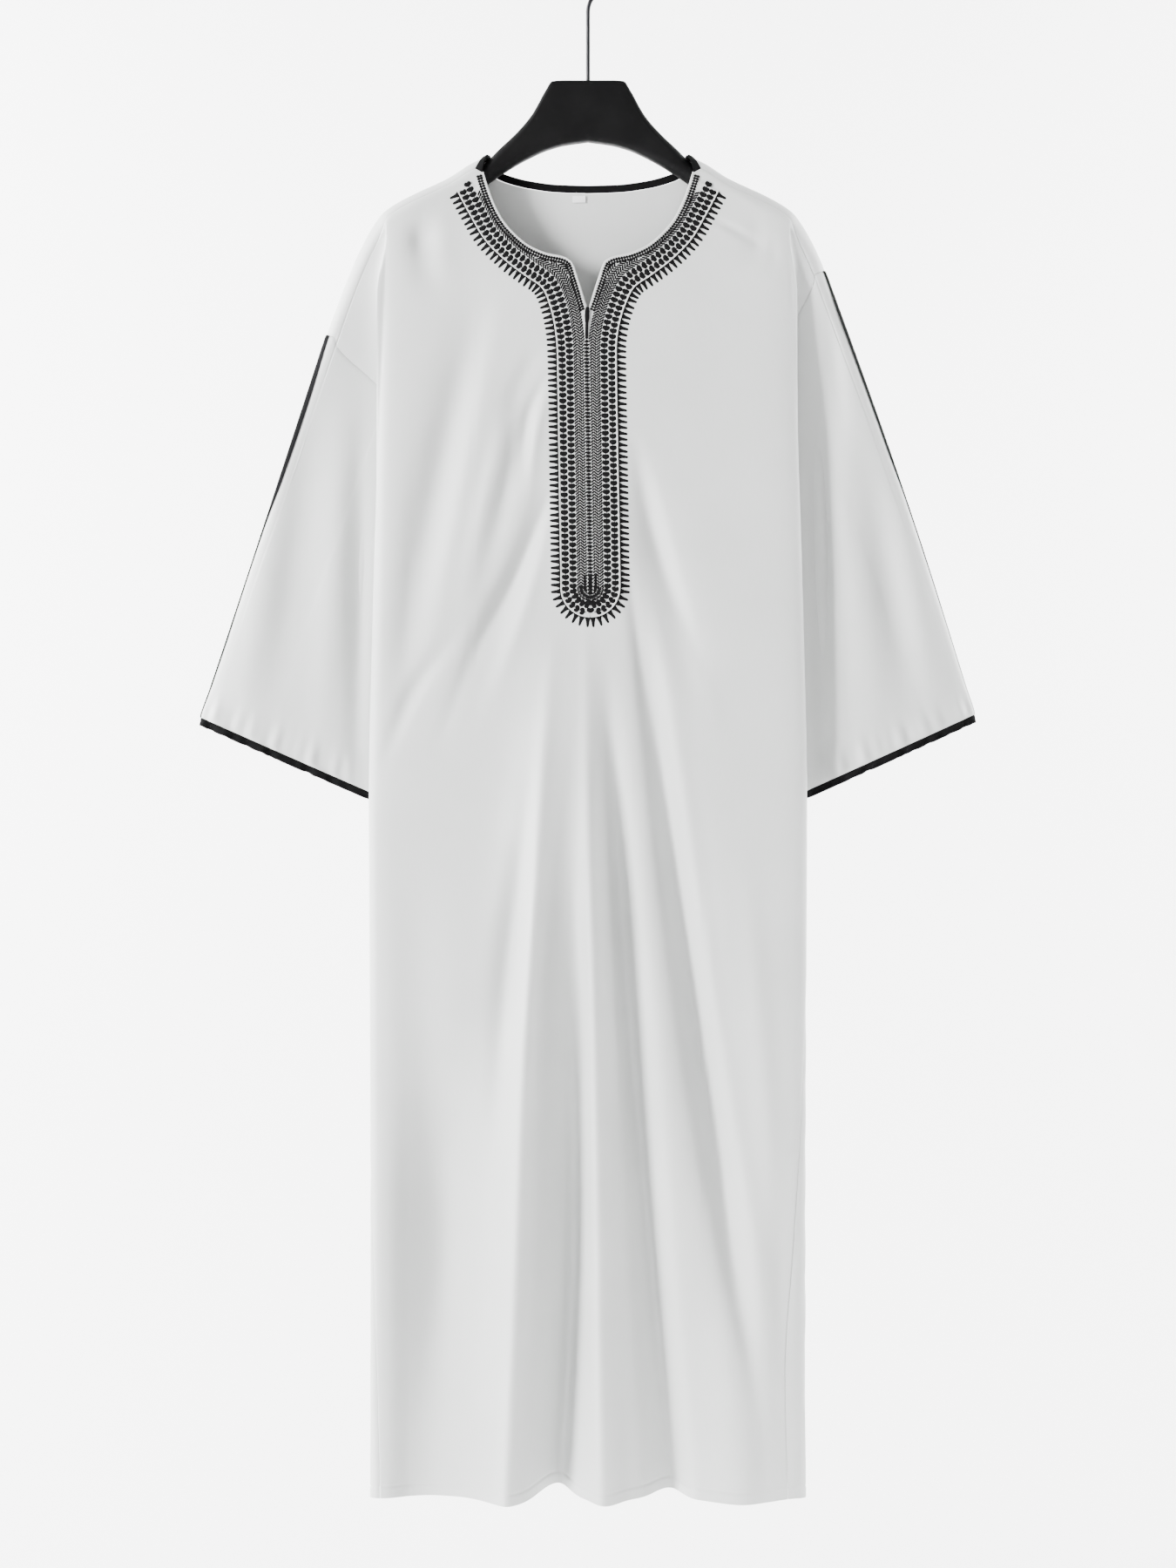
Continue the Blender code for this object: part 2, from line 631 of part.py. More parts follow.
def sleeve_grid(side, front_edge, back_edge, front_normal, back_normal):
    """The sleeve as straight runs from the armhole to the open end, all round the tube.

    The ring starts at the top fold, goes down the front to the underarm and up the back. Its armhole
    stations are the panels' own, moved off along the sleeve by the seam's gap, or by more where the
    two walls turn away from each other.
    """
    fold = SLEEVE_FOLD_ROW
    front = np.vstack([back_edge[fold:0:-1], front_edge])
    front_n = np.vstack([back_normal[fold:0:-1], front_normal])
    back = back_edge[-2:fold:-1]
    back_n = back_normal[-2:fold:-1]
    armhole = np.vstack([front, back])
    panel_n = np.vstack([front_n, back_n])
    front_share = lengths_along(front)
    front_share = front_share / front_share[-1]
    back_line = np.vstack([front[-1:], back, front[:1]])
    back_share = 1 - lengths_along(back_line) / lengths_along(back_line)[-1]
    cuff = np.vstack([cuff_points(side, front_share, "front"), cuff_points(side, back_share[1:-1], "back")])
    tangent = np.roll(armhole, -1, axis=0) - np.roll(armhole, 1, axis=0)
    tangent /= np.linalg.norm(tangent, axis=1, keepdims=True)
    run = cuff - armhole
    run /= np.linalg.norm(run, axis=1, keepdims=True)
    away = run - (run * tangent).sum(axis=1, keepdims=True) * tangent
    away += 0.25 * np.array([side.sign, 0.0, 0.0])
    away /= np.linalg.norm(away, axis=1, keepdims=True)
    ring_shares = np.linspace(0, 1, SLEEVE_ROWS) ** 1.1
    plain = np.array([armhole + (cuff - armhole) * share for share in ring_shares])
    outward = -side.sign
    ring_n = grid_normals(plain, ring=True)[0] * outward
    turn = 1 - (ring_n * panel_n).sum(axis=1, keepdims=True)
    start = armhole + away * (SEAM + SLEEVE_CLEAR * turn)
    top = np.concatenate([front_share, back_share[1:-1]])
    swell = (side.belly * np.exp(-((top / 0.12) ** 2)))[:, None] * np.array([side.sign, 0.0, 0.0])
    rows = []
    for share in ring_shares:
        rows.append(start + (cuff - start) * share + swell * math.sin(math.pi * share))
    return np.array(rows), outward


def cuff_band(grid, normals):
    """The binding past the sleeve's end: the last ring carried on along the sleeve."""
    run = grid[-1] - grid[-2]
    run -= (run * normals[-1]).sum(axis=1, keepdims=True) * normals[-1]
    run /= np.linalg.norm(run, axis=1, keepdims=True)
    band = np.array([grid[-1] + run * step for step in (BINDING_CLEAR, BINDING_CLEAR + BINDING_WIDTH)])
    return band, np.array([normals[-1], normals[-1]])


def tape_grid(side, grid, normals):
    """The tape on the top fold: a narrow strip of the sleeve's own points, moved out.

    It runs from its edge in front of the fold, as the table gives it, to the sleeve's first station
    behind the fold. Where that edge lies behind the fold too, the strip's middle lies half way between.
    """
    rows = table(TAPE_AHEAD, TAPE_COLUMNS)
    ahead = smooth(np.linspace(0, 1, len(grid)), rows["share"], rows[side.name])
    behind = -np.linalg.norm(grid[:, -1] - grid[:, 0], axis=1)
    in_front = np.linalg.norm(grid[:, 1] - grid[:, 0], axis=1)
    middle = np.where(ahead > 0, 0.0, (ahead + behind) / 2)
    points = []
    turned = []
    for at in (behind, middle, ahead):
        back = np.clip(at / behind, 0, 1)[:, None]
        front = np.clip(at / in_front, 0, 1)[:, None]
        own = 1 - back - front
        points.append(own * grid[:, 0] + back * grid[:, -1] + front * grid[:, 1])
        turned.append(own * normals[:, 0] + back * normals[:, -1] + front * normals[:, 1])
    points = np.stack(points, axis=1)
    turned = np.stack(turned, axis=1)
    points[0] += (points[1] - points[0]) * TAPE_SET_BACK
    points[-1] += (points[-2] - points[-1]) * TAPE_SET_BACK
    return points + turned * (WALL / 2 + TAPE_CLEAR + TAPE_THICK / 2), turned


def edge_ribbon(edge, normals, outward, clear, width):
    """A strip that carries a cut edge on by its width, square to the edge and flat with the panel."""
    tangent = np.gradient(edge, axis=0)
    into = np.cross(normals, tangent) * outward
    into /= np.linalg.norm(into, axis=1, keepdims=True)
    strip = np.array([edge + into * (clear + width), edge + into * clear])
    return strip, np.array([normals, normals])


def build_label(back_wall, material):
    """A small plate that hangs in front of the back panel, close under the binding."""
    width, height, thick = LABEL
    corners = []
    for z in (-LABEL_TOP, -LABEL_TOP - height):
        for x in (LABEL_X - width / 2, LABEL_X + width / 2):
            corners.append((x, z))
    hits = [hit_from_front(back_wall, x, z) for x, z in corners]
    nearest = min(hit[1] for hit, _ in hits) - SEAM
    points = [(x, nearest - thick, z) for x, z in corners] + [(x, nearest, z) for x, z in corners]
    faces = [(0, 2, 3, 1), (4, 5, 7, 6), (0, 1, 5, 4), (2, 6, 7, 3), (0, 4, 6, 2), (1, 3, 7, 5)]
    add_solid("size_label", points, faces, material)


def tree_of(thing):
    mesh = thing.data
    points = [vertex.co / MM for vertex in mesh.vertices]
    return BVHTree.FromPolygons(points, [tuple(face.vertices) for face in mesh.polygons])


def hit_from_front(tree, x, z):
    """The first point and normal of a wall met by a level line from the front."""
    where, normal, _, _ = tree.ray_cast(Vector((x, -200.0, z)), Vector((0.0, 1.0, 0.0)))
    return where, normal


def placket_axis(drop):
    lean = table(LEAN, LEAN_COLUMNS)
    return np.interp(drop, lean["drop"], lean["x"])


def embroidery_outline(side):
    """The inner and the outer edge of half the band, station by station from the shoulder to the foot."""
    outer = table(BAND_OUTER, BAND_COLUMNS)
    outline = rounded(np.stack([outer["x"], outer["drop"]], -1), 8)
    turn = np.linspace(0, math.pi / 2, 9)[1:]
    foot = np.stack([PLACKET_HALF * np.cos(turn), PLACKET_FOOT + PLACKET_HALF * np.sin(turn)], -1)
    outline = np.vstack([outline, foot])
    neck = table(NECKLINE, NECKLINE_COLUMNS)
    inner = rounded(np.stack([neck["x"], neck["drop"]], -1)[:0:-1], 8)
    inner = inner[inner[:, 1] > roll_seam_drop() + 2.0]
    split = np.argmax(outline[:, 1] > 357.0)
    upper = 14
    lower = 17
    high_out = along(outline[: split + 1], np.linspace(0, lengths_along(outline[: split + 1])[-1], upper))
    high_in = along(inner, np.linspace(0, lengths_along(inner)[-1], upper))
    low_out = along(outline[split:], np.linspace(0, lengths_along(outline[split:])[-1], lower))
    low_in = np.stack([np.zeros(lower), np.linspace(357.0, PLACKET_FOOT + PLACKET_HALF * 0.8, lower)], -1)
    out_line = np.vstack([high_out[:-1], low_out])
    in_line = np.vstack([high_in[:-1], low_in])
    in_line[:, 0] = np.maximum(in_line[:, 0] + 0.8, SLIT_GAP)
    out_line[:, 0] = np.maximum(out_line[:, 0], SLIT_GAP + 0.6)
    return in_line, out_line


def roll_seam_drop():
    """The drop of the shoulder seam where it meets the neck."""
    station = np.array([NECKLINE[-1][0]])
    drop, _ = shoulder_line(station)
    radius, seam = roll_at(station)
    return float((drop + radius * (1 - np.cos(seam / radius)))[0])


def seat_on_front(front_wall, side, inner, outer, share):
    """A point of the band on the panel's outer face, drawn outwards until it is clear of the cut neckline."""
    for tries in range(24):
        x, drop = inner + (outer - inner) * (share + 0.02 * tries * (1 - share))
        where, normal = hit_from_front(front_wall, x * side.sign + placket_axis(drop), -drop)
        if where is not None and normal.y < -0.05:
            return np.array(where), np.array(normal)
    raise ValueError(f"the band leaves the panel at {inner} to {outer}, share {share}")


def build_embroidery(side, front_wall, material):
    """Half of the embroidered band, laid on points of the front panel and moved out."""
    inner, outer = embroidery_outline(side)
    columns = 5
    rows = []
    for a, b in zip(inner, outer):
        rows.append([seat_on_front(front_wall, side, a, b, share) for share in np.linspace(0, 1, columns)])
    grid = np.array([[where for where, _ in line] for line in rows])
    normals = np.array([[normal for _, normal in line] for line in rows])
    normals = (normals + np.array([0.0, -1.0, 0.0])) / 2
    normals /= np.linalg.norm(normals, axis=2, keepdims=True)
    grid = grid + normals * (BAND_LIFT + BAND_THICK / 2)
    add_wall(f"embroidery_{side.name}", grid, material, BAND_THICK, False, normals, side.sign)


def build_tack(material):
    """A short raised bar across the foot of the slit, on top of the embroidery."""
    wide, tall, thick = TACK
    trees = [tree_of(bpy.data.objects[name]) for name in ("embroidery_left", "embroidery_right")]
    x_axis = float(placket_axis(TACK_DROP))
    depths = []
    for x in (x_axis - wide / 2, x_axis + wide / 2):
        for drop in np.linspace(TACK_DROP - tall / 2, TACK_DROP + tall / 2, 5):
            for tree in trees:
                where, _ = hit_from_front(tree, x, -float(drop))
                if where is not None:
                    depths.append(where[1])
    back = min(depths) - SEAM
    corners = [(x_axis + sx * wide / 2, -TACK_DROP + sz * tall / 2) for sz in (1, -1) for sx in (-1, 1)]
    points = [(x, back - thick, z) for x, z in corners] + [(x, back, z) for x, z in corners]
    faces = [(0, 2, 3, 1), (4, 5, 7, 6), (0, 1, 5, 4), (2, 6, 7, 3), (0, 4, 6, 2), (1, 3, 7, 5)]
    add_solid("slit_bar_tack", points, faces, material)


def build_hanger(material):
    """The hanger as a loft along x: each section is a rounded upright oblong."""
    half = table(HANGER, HANGER_COLUMNS)
    x = np.concatenate([-half["x"][:0:-1], half["x"]])
    count = 14
    turn = np.arange(count) * 2 * math.pi / count
    rings = []
    for k, place in enumerate(x):
        row = {key: np.concatenate([half[key][:0:-1], half[key]])[k] for key in HANGER_COLUMNS[1:]}
        power = row["squareness"]
        y = row["half_depth"] * np.sign(np.cos(turn)) * np.abs(np.cos(turn)) ** power
        rise = np.sign(np.sin(turn)) * np.abs(np.sin(turn)) ** power
        cap = min(row["half_depth"], (row["bottom"] - row["top"]) / 2)
        straight = (row["bottom"] - row["top"]) / 2 - cap
        middle = -(row["top"] + row["bottom"]) / 2
        z = middle + rise * cap + np.sign(np.round(rise, 6)) * straight
        rings.append(np.stack([np.full(count, place), y, z], -1))
    grid = np.array(rings)
    skin = grid_faces(len(x), count, True)
    caps = []
    for k in range(1, count - 1):
        caps.append((0, k, k + 1))
        last = (len(x) - 1) * count
        caps.append((last, last + k + 1, last + k))
    faces = np.concatenate([skin, np.array(caps)])[:, ::-1]
    add_solid("hanger_body", grid.reshape(-1, 3), faces, material)


def build_hook(material):
    """A round rod: straight up from the hanger, a short bend, then an open curl round the bearing point."""
    centre_z = ROD_RADIUS - CURL_RADIUS
    turn = np.radians(np.linspace(-58, 212, 26))
    curl = np.stack([CURL_RADIUS * np.cos(turn), centre_z + CURL_RADIUS * np.sin(turn)], -1)
    bend = np.array([[0.0, -HANGER_TOP + SEAM], [0.0, -90.0], [0.0, -58.0], [1.3, -50.5], [5.2, -44.3]])
    line = np.vstack([bend, curl])
    tangent = np.gradient(line, axis=0)
    tangent /= np.linalg.norm(tangent, axis=1, keepdims=True)
    tangent[0] = (0.0, 1.0)
    across = np.stack([tangent[:, 1], -tangent[:, 0]], -1)
    sides = 10
    angle = np.arange(sides) * 2 * math.pi / sides
    radius = np.full(len(line), ROD_RADIUS)
    radius[-1] = ROD_RADIUS * 0.55
    x = line[:, None, 0] + across[:, None, 0] * radius[:, None] * np.cos(angle)
    z = line[:, None, 1] + across[:, None, 1] * radius[:, None] * np.cos(angle)
    y = radius[:, None] * np.sin(angle) * np.ones((len(line), 1))
    grid = np.stack([x, y, z], -1)
    skin = grid_faces(len(line), sides, True)
    caps = []
    last = (len(line) - 1) * sides
    for k in range(1, sides - 1):
        caps.append((0, k, k + 1))
        caps.append((last, last + k + 1, last + k))
    faces = np.concatenate([skin, np.array(caps)])[:, ::-1]
    add_solid("hanger_hook", grid.reshape(-1, 3), faces, material)


def main():
    clear_scene()
    white = material_for("off_white_twill", (0.68, 0.69, 0.68), 0.6, sheen=0.3)
    black = material_for("black_binding", (0.012, 0.011, 0.012), 0.75)
    thread = material_for("black_and_white_embroidery", (0.08, 0.08, 0.085), 0.7)
    plastic = material_for("black_plastic", (0.01, 0.01, 0.011), 0.5)
    metal = material_for("dark_metal", (0.03, 0.03, 0.032), 0.4, metallic=0.8)

    left, right = (Side(row) for row in SLEEVES)
    front = panel_grid(front_half(left), front_half(right))
    back = panel_grid(back_half(left), back_half(right))
    front_normals = grid_normals(front)
    back_normals = -grid_normals(back)
    counts = len(left.shoulder), len(right.shoulder)
    part_at_seams(front, back, front_normals, back_normals, *counts)
    front_thing = add_wall("front_panel", front, white, normals=front_normals)
    back_thing = add_wall("back_panel", back, white, normals=back_normals, outward=-1.0)

    for side, column in ((left, 0), (right, -1)):
        front_edge = front[:FRONT_TOP_ROWS, column]
        back_edge = back[: BACK_WRAP_ROWS + BACK_FALL_ROWS, column]
        front_n = front_normals[:FRONT_TOP_ROWS, column]
        back_n = back_normals[: BACK_WRAP_ROWS + BACK_FALL_ROWS, column]
        grid, outward = sleeve_grid(side, front_edge, back_edge, front_n, back_n)
        normals = grid_normals(grid, ring=True) * outward
        add_wall(f"sleeve_{side.name}", grid, white, ring=True, normals=normals, outward=outward)
        band, band_n = cuff_band(grid, normals)
        add_wall(f"cuff_binding_{side.name}", band, black, BINDING_THICK, True, band_n, outward)
        tape, tape_n = tape_grid(side, grid, normals)
        add_wall(f"sleeve_tape_{side.name}", tape, black, TAPE_THICK, False, tape_n, outward)

    middle = len(BACK_NECK_STATIONS) + len(left.shoulder) - 1
    reach = len(BACK_NECK_STATIONS)
    neck = slice(middle - reach, middle + reach + 1)
    strip, strip_n = edge_ribbon(back[0, neck], back_normals[0, neck], -1.0, BINDING_CLEAR, BINDING_WIDTH)
    add_wall("neck_binding", strip, black, BINDING_THICK, False, strip_n, -1.0)
    middle = len(NECK_STATIONS) + len(left.shoulder) - 1
    reach = len(NECK_STATIONS) - 1
    neck = slice(middle - reach, middle + reach + 1)
    strip, strip_n = edge_ribbon(front[0, neck], front_normals[0, neck], 1.0, SEAM, PIPING_WIDTH)
    add_wall("neck_piping", strip, white, PIPING_THICK, False, strip_n, 1.0)

    front_wall = tree_of(front_thing)
    back_wall = tree_of(back_thing)
    for side in (left, right):
        build_embroidery(side, front_wall, thread)
    build_tack(black)
    build_label(back_wall, white)
    build_hanger(plastic)
    build_hook(metal)


main()
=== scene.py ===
"""Looks of a wide-sleeved thobe robe of off-white satin twill, hanging on a black plastic hanger.

Lengths are millimetres until a piece goes into its mesh. The origin is the bearing point inside
the hook's curl, +Z is up and the front faces -Y. A drop is a height measured down from the origin.
Left and right are as seen from the front.
"""

import math

import bpy
import numpy as np
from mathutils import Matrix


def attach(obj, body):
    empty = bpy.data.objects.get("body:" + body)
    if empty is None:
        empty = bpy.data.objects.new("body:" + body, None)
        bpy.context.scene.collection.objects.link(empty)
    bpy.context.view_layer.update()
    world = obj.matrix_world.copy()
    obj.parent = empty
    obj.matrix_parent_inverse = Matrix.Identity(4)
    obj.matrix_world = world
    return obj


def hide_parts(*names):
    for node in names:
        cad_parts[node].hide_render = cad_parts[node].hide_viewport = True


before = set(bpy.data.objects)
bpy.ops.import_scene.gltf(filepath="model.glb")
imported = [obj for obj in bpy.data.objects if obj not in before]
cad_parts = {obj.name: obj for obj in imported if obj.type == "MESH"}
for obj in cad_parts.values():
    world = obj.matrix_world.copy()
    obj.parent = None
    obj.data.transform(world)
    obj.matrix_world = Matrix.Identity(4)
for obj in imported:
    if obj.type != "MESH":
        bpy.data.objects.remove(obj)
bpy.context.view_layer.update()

# The hanger's hook: a plain round rod of dark plated steel, screwed into the top of the hanger,
# straight for most of its length and bent into an open curl whose inside is the bearing point.
MM = 0.001
ROD_RADIUS = 2.1
CURL_RADIUS = 22.0
CURL_FROM, CURL_TO = -58.0, 212.0
HANGER_TOP = 125.8
SEAM = 0.3
RISE_END = -58.0
BEND_COLUMNS = ("x", "z")
BEND = ((0.25, -55.5), (0.7, -53.0), (1.5, -50.2), (2.9, -47.0), (4.9, -44.5), (7.9, -41.2))
ROD_TIP = (0.97, 0.88, 0.72, 0.45)
SHARP_EDGE = 50.0


def as_mesh(name, points, faces, material, uv=None):
    """One mesh from points in millimetres and faces that point out.

    uv holds a place on the flat cloth, also in millimetres, for each corner of each face.
    """
    mesh = bpy.data.meshes.new(name)
    mesh.from_pydata((np.asarray(points) * MM).tolist(), [], np.asarray(faces).tolist())
    if uv is not None:
        layer = mesh.uv_layers.new(name="cloth")
        layer.data.foreach_set("uv", (np.asarray(uv, np.float32) * MM).ravel())
    mesh.materials.append(material)
    mesh.shade_smooth()
    mesh.set_sharp_from_angle(angle=math.radians(SHARP_EDGE))
    piece = bpy.data.objects.new(name, mesh)
    bpy.context.scene.collection.objects.link(piece)
    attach(piece, "root")
    return piece


def cells(rows, columns, ring=False):
    """The quads of a grid counted row by row, whose rows may close on themselves."""
    i, j = np.meshgrid(np.arange(rows - 1), np.arange(columns if ring else columns - 1), indexing="ij")
    k = (j + 1) % columns
    quads = np.stack([i * columns + j, (i + 1) * columns + j, (i + 1) * columns + k, i * columns + k], -1)
    return quads.reshape(-1, 4)


def tube(grid):
    """The points and quads of rings that follow each other, closed at both ends by ever smaller rings."""
    rows, columns = grid.shape[:2]
    first, last = grid[0].mean(0), grid[-1].mean(0)
    shares = np.array([0.02, 0.6])[:, None, None]
    grid = np.concatenate([first + (grid[0] - first) * shares, grid, last + (grid[-1] - last) * shares[::-1]])
    skin = cells(len(grid), columns, True)
    half = columns // 2
    k = np.arange(half - 1)
    start = np.stack([k, k + 1, columns - 2 - k, (columns - 1 - k) % columns], -1)
    finish = start + (len(grid) - 1) * columns
    return grid.reshape(-1, 3), np.concatenate([skin, start, finish[:, ::-1]])


def table(rows, names):
    """The rows of a table as one array for each named column."""
    return dict(zip(names, np.array(rows, float).T))


def new_material(name):
    """A material with its shader, its nodes and its links."""
    material = bpy.data.materials.new(name)
    material.use_nodes = True
    nodes, links = material.node_tree.nodes, material.node_tree.links
    return material, nodes["Principled BSDF"], nodes, links


def noise(nodes, links, place, scale, detail):
    """A noise over the places given."""
    node = nodes.new("ShaderNodeTexNoise")
    node.inputs["Scale"].default_value = scale
    node.inputs["Detail"].default_value = detail
    links.new(place, node.inputs["Vector"])
    return node.outputs["Fac"]


def two_tones(nodes, links, mask, low, dark, high, light):
    """A colour that goes from dark, where the mask is low, to light, where it is high."""
    ramp = nodes.new("ShaderNodeValToRGB")
    for stop, position, colour in zip(ramp.color_ramp.elements, (low, high), (dark, light)):
        stop.position = position
        stop.color = (*colour, 1)
    links.new(mask, ramp.inputs["Fac"])
    return ramp.outputs["Color"]


def dress(shader, nodes, links, colour, mask, rough, height, strength, depth):
    """Joins up the shader: a colour, a roughness that a mask moves between two values, a height as bump."""
    rougher = nodes.new("ShaderNodeMapRange")
    rougher.inputs["To Min"].default_value = rough[0]
    rougher.inputs["To Max"].default_value = rough[1]
    bump = nodes.new("ShaderNodeBump")
    bump.inputs["Strength"].default_value = strength
    bump.inputs["Distance"].default_value = depth
    links.new(mask, rougher.inputs["Value"])
    links.new(height, bump.inputs["Height"])
    links.new(colour, shader.inputs["Base Color"])
    links.new(rougher.outputs["Result"], shader.inputs["Roughness"])
    links.new(bump.outputs["Normal"], shader.inputs["Normal"])


def rod_material():
    """Dark plated steel: fine lines drawn along the wire, with slightly duller and paler streaks."""
    material, shader, nodes, links = new_material("dark_plated_steel")
    shader.inputs["Metallic"].default_value = 0.85
    place = nodes.new("ShaderNodeTexCoord")
    drawn = nodes.new("ShaderNodeMapping")
    drawn.inputs["Scale"].default_value = (2600.0, 2600.0, 90.0)
    links.new(place.outputs["Object"], drawn.inputs["Vector"])
    lines = noise(nodes, links, drawn.outputs["Vector"], 1.0, 3.0)
    colour = two_tones(nodes, links, lines, 0.3, (0.012, 0.012, 0.013), 0.75, (0.034, 0.034, 0.037))
    dress(shader, nodes, links, colour, lines, (0.28, 0.48), lines, 0.15, 0.00005)
    return material


def rod_line():
    """The rod's middle: up from the hanger, a short S bend, then an arc of the curl's radius."""
    turn = np.radians(np.linspace(CURL_FROM, CURL_TO, 90))
    centre = ROD_RADIUS - CURL_RADIUS
    curl = np.stack([CURL_RADIUS * np.cos(turn), centre + CURL_RADIUS * np.sin(turn)], -1)
    rise = np.stack([np.zeros(24), np.linspace(SEAM - HANGER_TOP, RISE_END, 24)], -1)
    bend = table(BEND, BEND_COLUMNS)
    return np.vstack([rise, np.stack([bend["x"], bend["z"]], -1), curl])


def rod_rings(line, sides=24):
    """A circle round each point of the line, square to its run, with ever smaller ones at the tip."""
    way = np.gradient(line, axis=0)
    way /= np.linalg.norm(way, axis=1, keepdims=True)
    angle = np.arange(sides) * 2 * math.pi / sides
    radius = np.full(len(line), ROD_RADIUS)
    radius[-len(ROD_TIP) :] = ROD_RADIUS * np.array(ROD_TIP)
    x = line[:, None, 0] + way[:, None, 1] * radius[:, None] * np.cos(angle)
    z = line[:, None, 1] - way[:, None, 0] * radius[:, None] * np.cos(angle)
    return np.stack([x, -radius[:, None] * np.sin(angle) * np.ones_like(x), z], -1)


hook = as_mesh("hook_rod", *tube(rod_rings(rod_line())), rod_material())
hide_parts("hanger_hook")


# The hanger's body: one moulding of matte black plastic with a flat top under the hook, falling to
# broad shoulders that carry the robe. Its two halves of the mould meet in a hair-fine line.
HANGER_COLUMNS = ("x", "top", "bottom", "half_depth", "squareness")
HANGER = (
    (0.0, 125.8, 185.5, 10.0, 0.55),
    (24.0, 125.8, 189.0, 10.0, 0.55),
    (35.0, 126.6, 192.0, 10.0, 0.55),
    (41.0, 135.0, 194.0, 10.0, 0.6),
    (55.0, 159.5, 200.5, 10.2, 0.7),
    (69.0, 176.0, 208.0, 10.6, 0.8),
    (88.0, 194.0, 220.0, 11.0, 0.9),
    (95.0, 201.0, 225.0, 11.0, 1.0),
    (102.0, 206.6, 230.0, 11.2, 1.0),
    (110.0, 210.5, 235.0, 11.6, 1.0),
    (128.0, 218.4, 246.5, 13.0, 1.0),
    (147.0, 228.2, 258.0, 14.2, 1.0),
    (165.0, 236.6, 268.0, 15.2, 1.0),
    (180.0, 244.2, 275.0, 15.6, 1.0),
    (190.0, 251.0, 278.0, 13.6, 1.0),
    (195.0, 257.0, 277.0, 9.5, 1.0),
    (197.5, 262.0, 274.0, 4.5, 1.0),
)
HANGER_SPACING = 2.0
PARTING_LINE = 0.12


def smooth(at, stations, values):
    """A cubic curve through the stations that never overshoots them."""
    step = np.diff(stations)
    chord = np.diff(values) / step
    slope = np.zeros(len(values))
    product = chord[1:] * chord[:-1]
    turning = product > 0
    slope[1:-1][turning] = 2 * product[turning] / (chord[1:] + chord[:-1])[turning]
    slope[0] = chord[0]
    slope[-1] = chord[-1]
    at = np.clip(at, stations[0], stations[-1])
    i = np.clip(np.searchsorted(stations, at) - 1, 0, len(step) - 1)
    t = (at - stations[i]) / step[i]
    start = values[i] * (2 * t**3 - 3 * t**2 + 1) + slope[i] * step[i] * (t**3 - 2 * t**2 + t)
    return start + values[i + 1] * (3 * t**2 - 2 * t**3) + slope[i + 1] * step[i] * (t**3 - t**2)


def spread(knots, spacing):
    """Stations that hold every knot, with evenly spaced ones no further apart than the spacing between."""
    parts = []
    for low, high in zip(knots[:-1], knots[1:]):
        count = max(1, int(math.ceil((high - low) / spacing)))
        parts.append(np.linspace(low, high, count, endpoint=False))
    return np.concatenate(parts + [np.array(knots[-1:], float)])


def hanger_rings(sides=56):
    """Upright rounded oblongs along x. Each is a superellipse cut at its middle and drawn apart."""
    half = table(HANGER, HANGER_COLUMNS)
    station = spread(half["x"], HANGER_SPACING)
    x = np.concatenate([-station[:0:-1], station])
    sizes = [smooth(np.abs(x), half["x"], half[key])[:, None] for key in HANGER_COLUMNS[1:]]
    top, bottom, depth, power = sizes
    turn = (np.arange(sides) + 0.5) * 2 * math.pi / sides
    rise = np.sign(np.sin(turn)) * np.abs(np.sin(turn)) ** power
    cap = np.minimum(depth, (bottom - top) / 2)
    y = depth * np.sign(np.cos(turn)) * np.abs(np.cos(turn)) ** power
    z = rise * cap + np.sign(np.sin(turn)) * ((bottom - top) / 2 - cap) - (top + bottom) / 2
    return np.stack([x[:, None] * np.ones_like(y), y, z], -1)


def math_node(nodes, links, operation, *values):
    """A Math node whose inputs are sockets or plain numbers."""
    node = nodes.new("ShaderNodeMath")
    node.operation = operation
    for place, value in enumerate(values):
        if isinstance(value, (int, float)):
            node.inputs[place].default_value = value
        else:
            links.new(value, node.inputs[place])
    return node.outputs[0]


def plastic_material():
    """Matte moulded plastic: a fine grain, faint wear as a paler bloom, and the mould's parting line."""
    material, shader, nodes, links = new_material("matte_black_plastic")
    shader.inputs["Specular IOR Level"].default_value = 0.08
    place = nodes.new("ShaderNodeTexCoord").outputs["Object"]
    grain = noise(nodes, links, place, 2600.0, 2.0)
    bloom = noise(nodes, links, place, 28.0, 4.0)
    split = nodes.new("ShaderNodeSeparateXYZ")
    links.new(place, split.inputs["Vector"])
    off = math_node(nodes, links, "ABSOLUTE", split.outputs["Y"])
    near = math_node(nodes, links, "LESS_THAN", off, PARTING_LINE * MM)
    height = math_node(nodes, links, "ADD", grain, near)
    colour = two_tones(nodes, links, bloom, 0.35, (0.0022, 0.0022, 0.0024), 0.8, (0.0042, 0.0042, 0.0044))
    dress(shader, nodes, links, colour, bloom, (0.46, 0.62), height, 0.25, 0.00006)
    return material


hanger = as_mesh("shaped_hanger", *tube(hanger_rings()), plastic_material())
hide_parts("hanger_body")


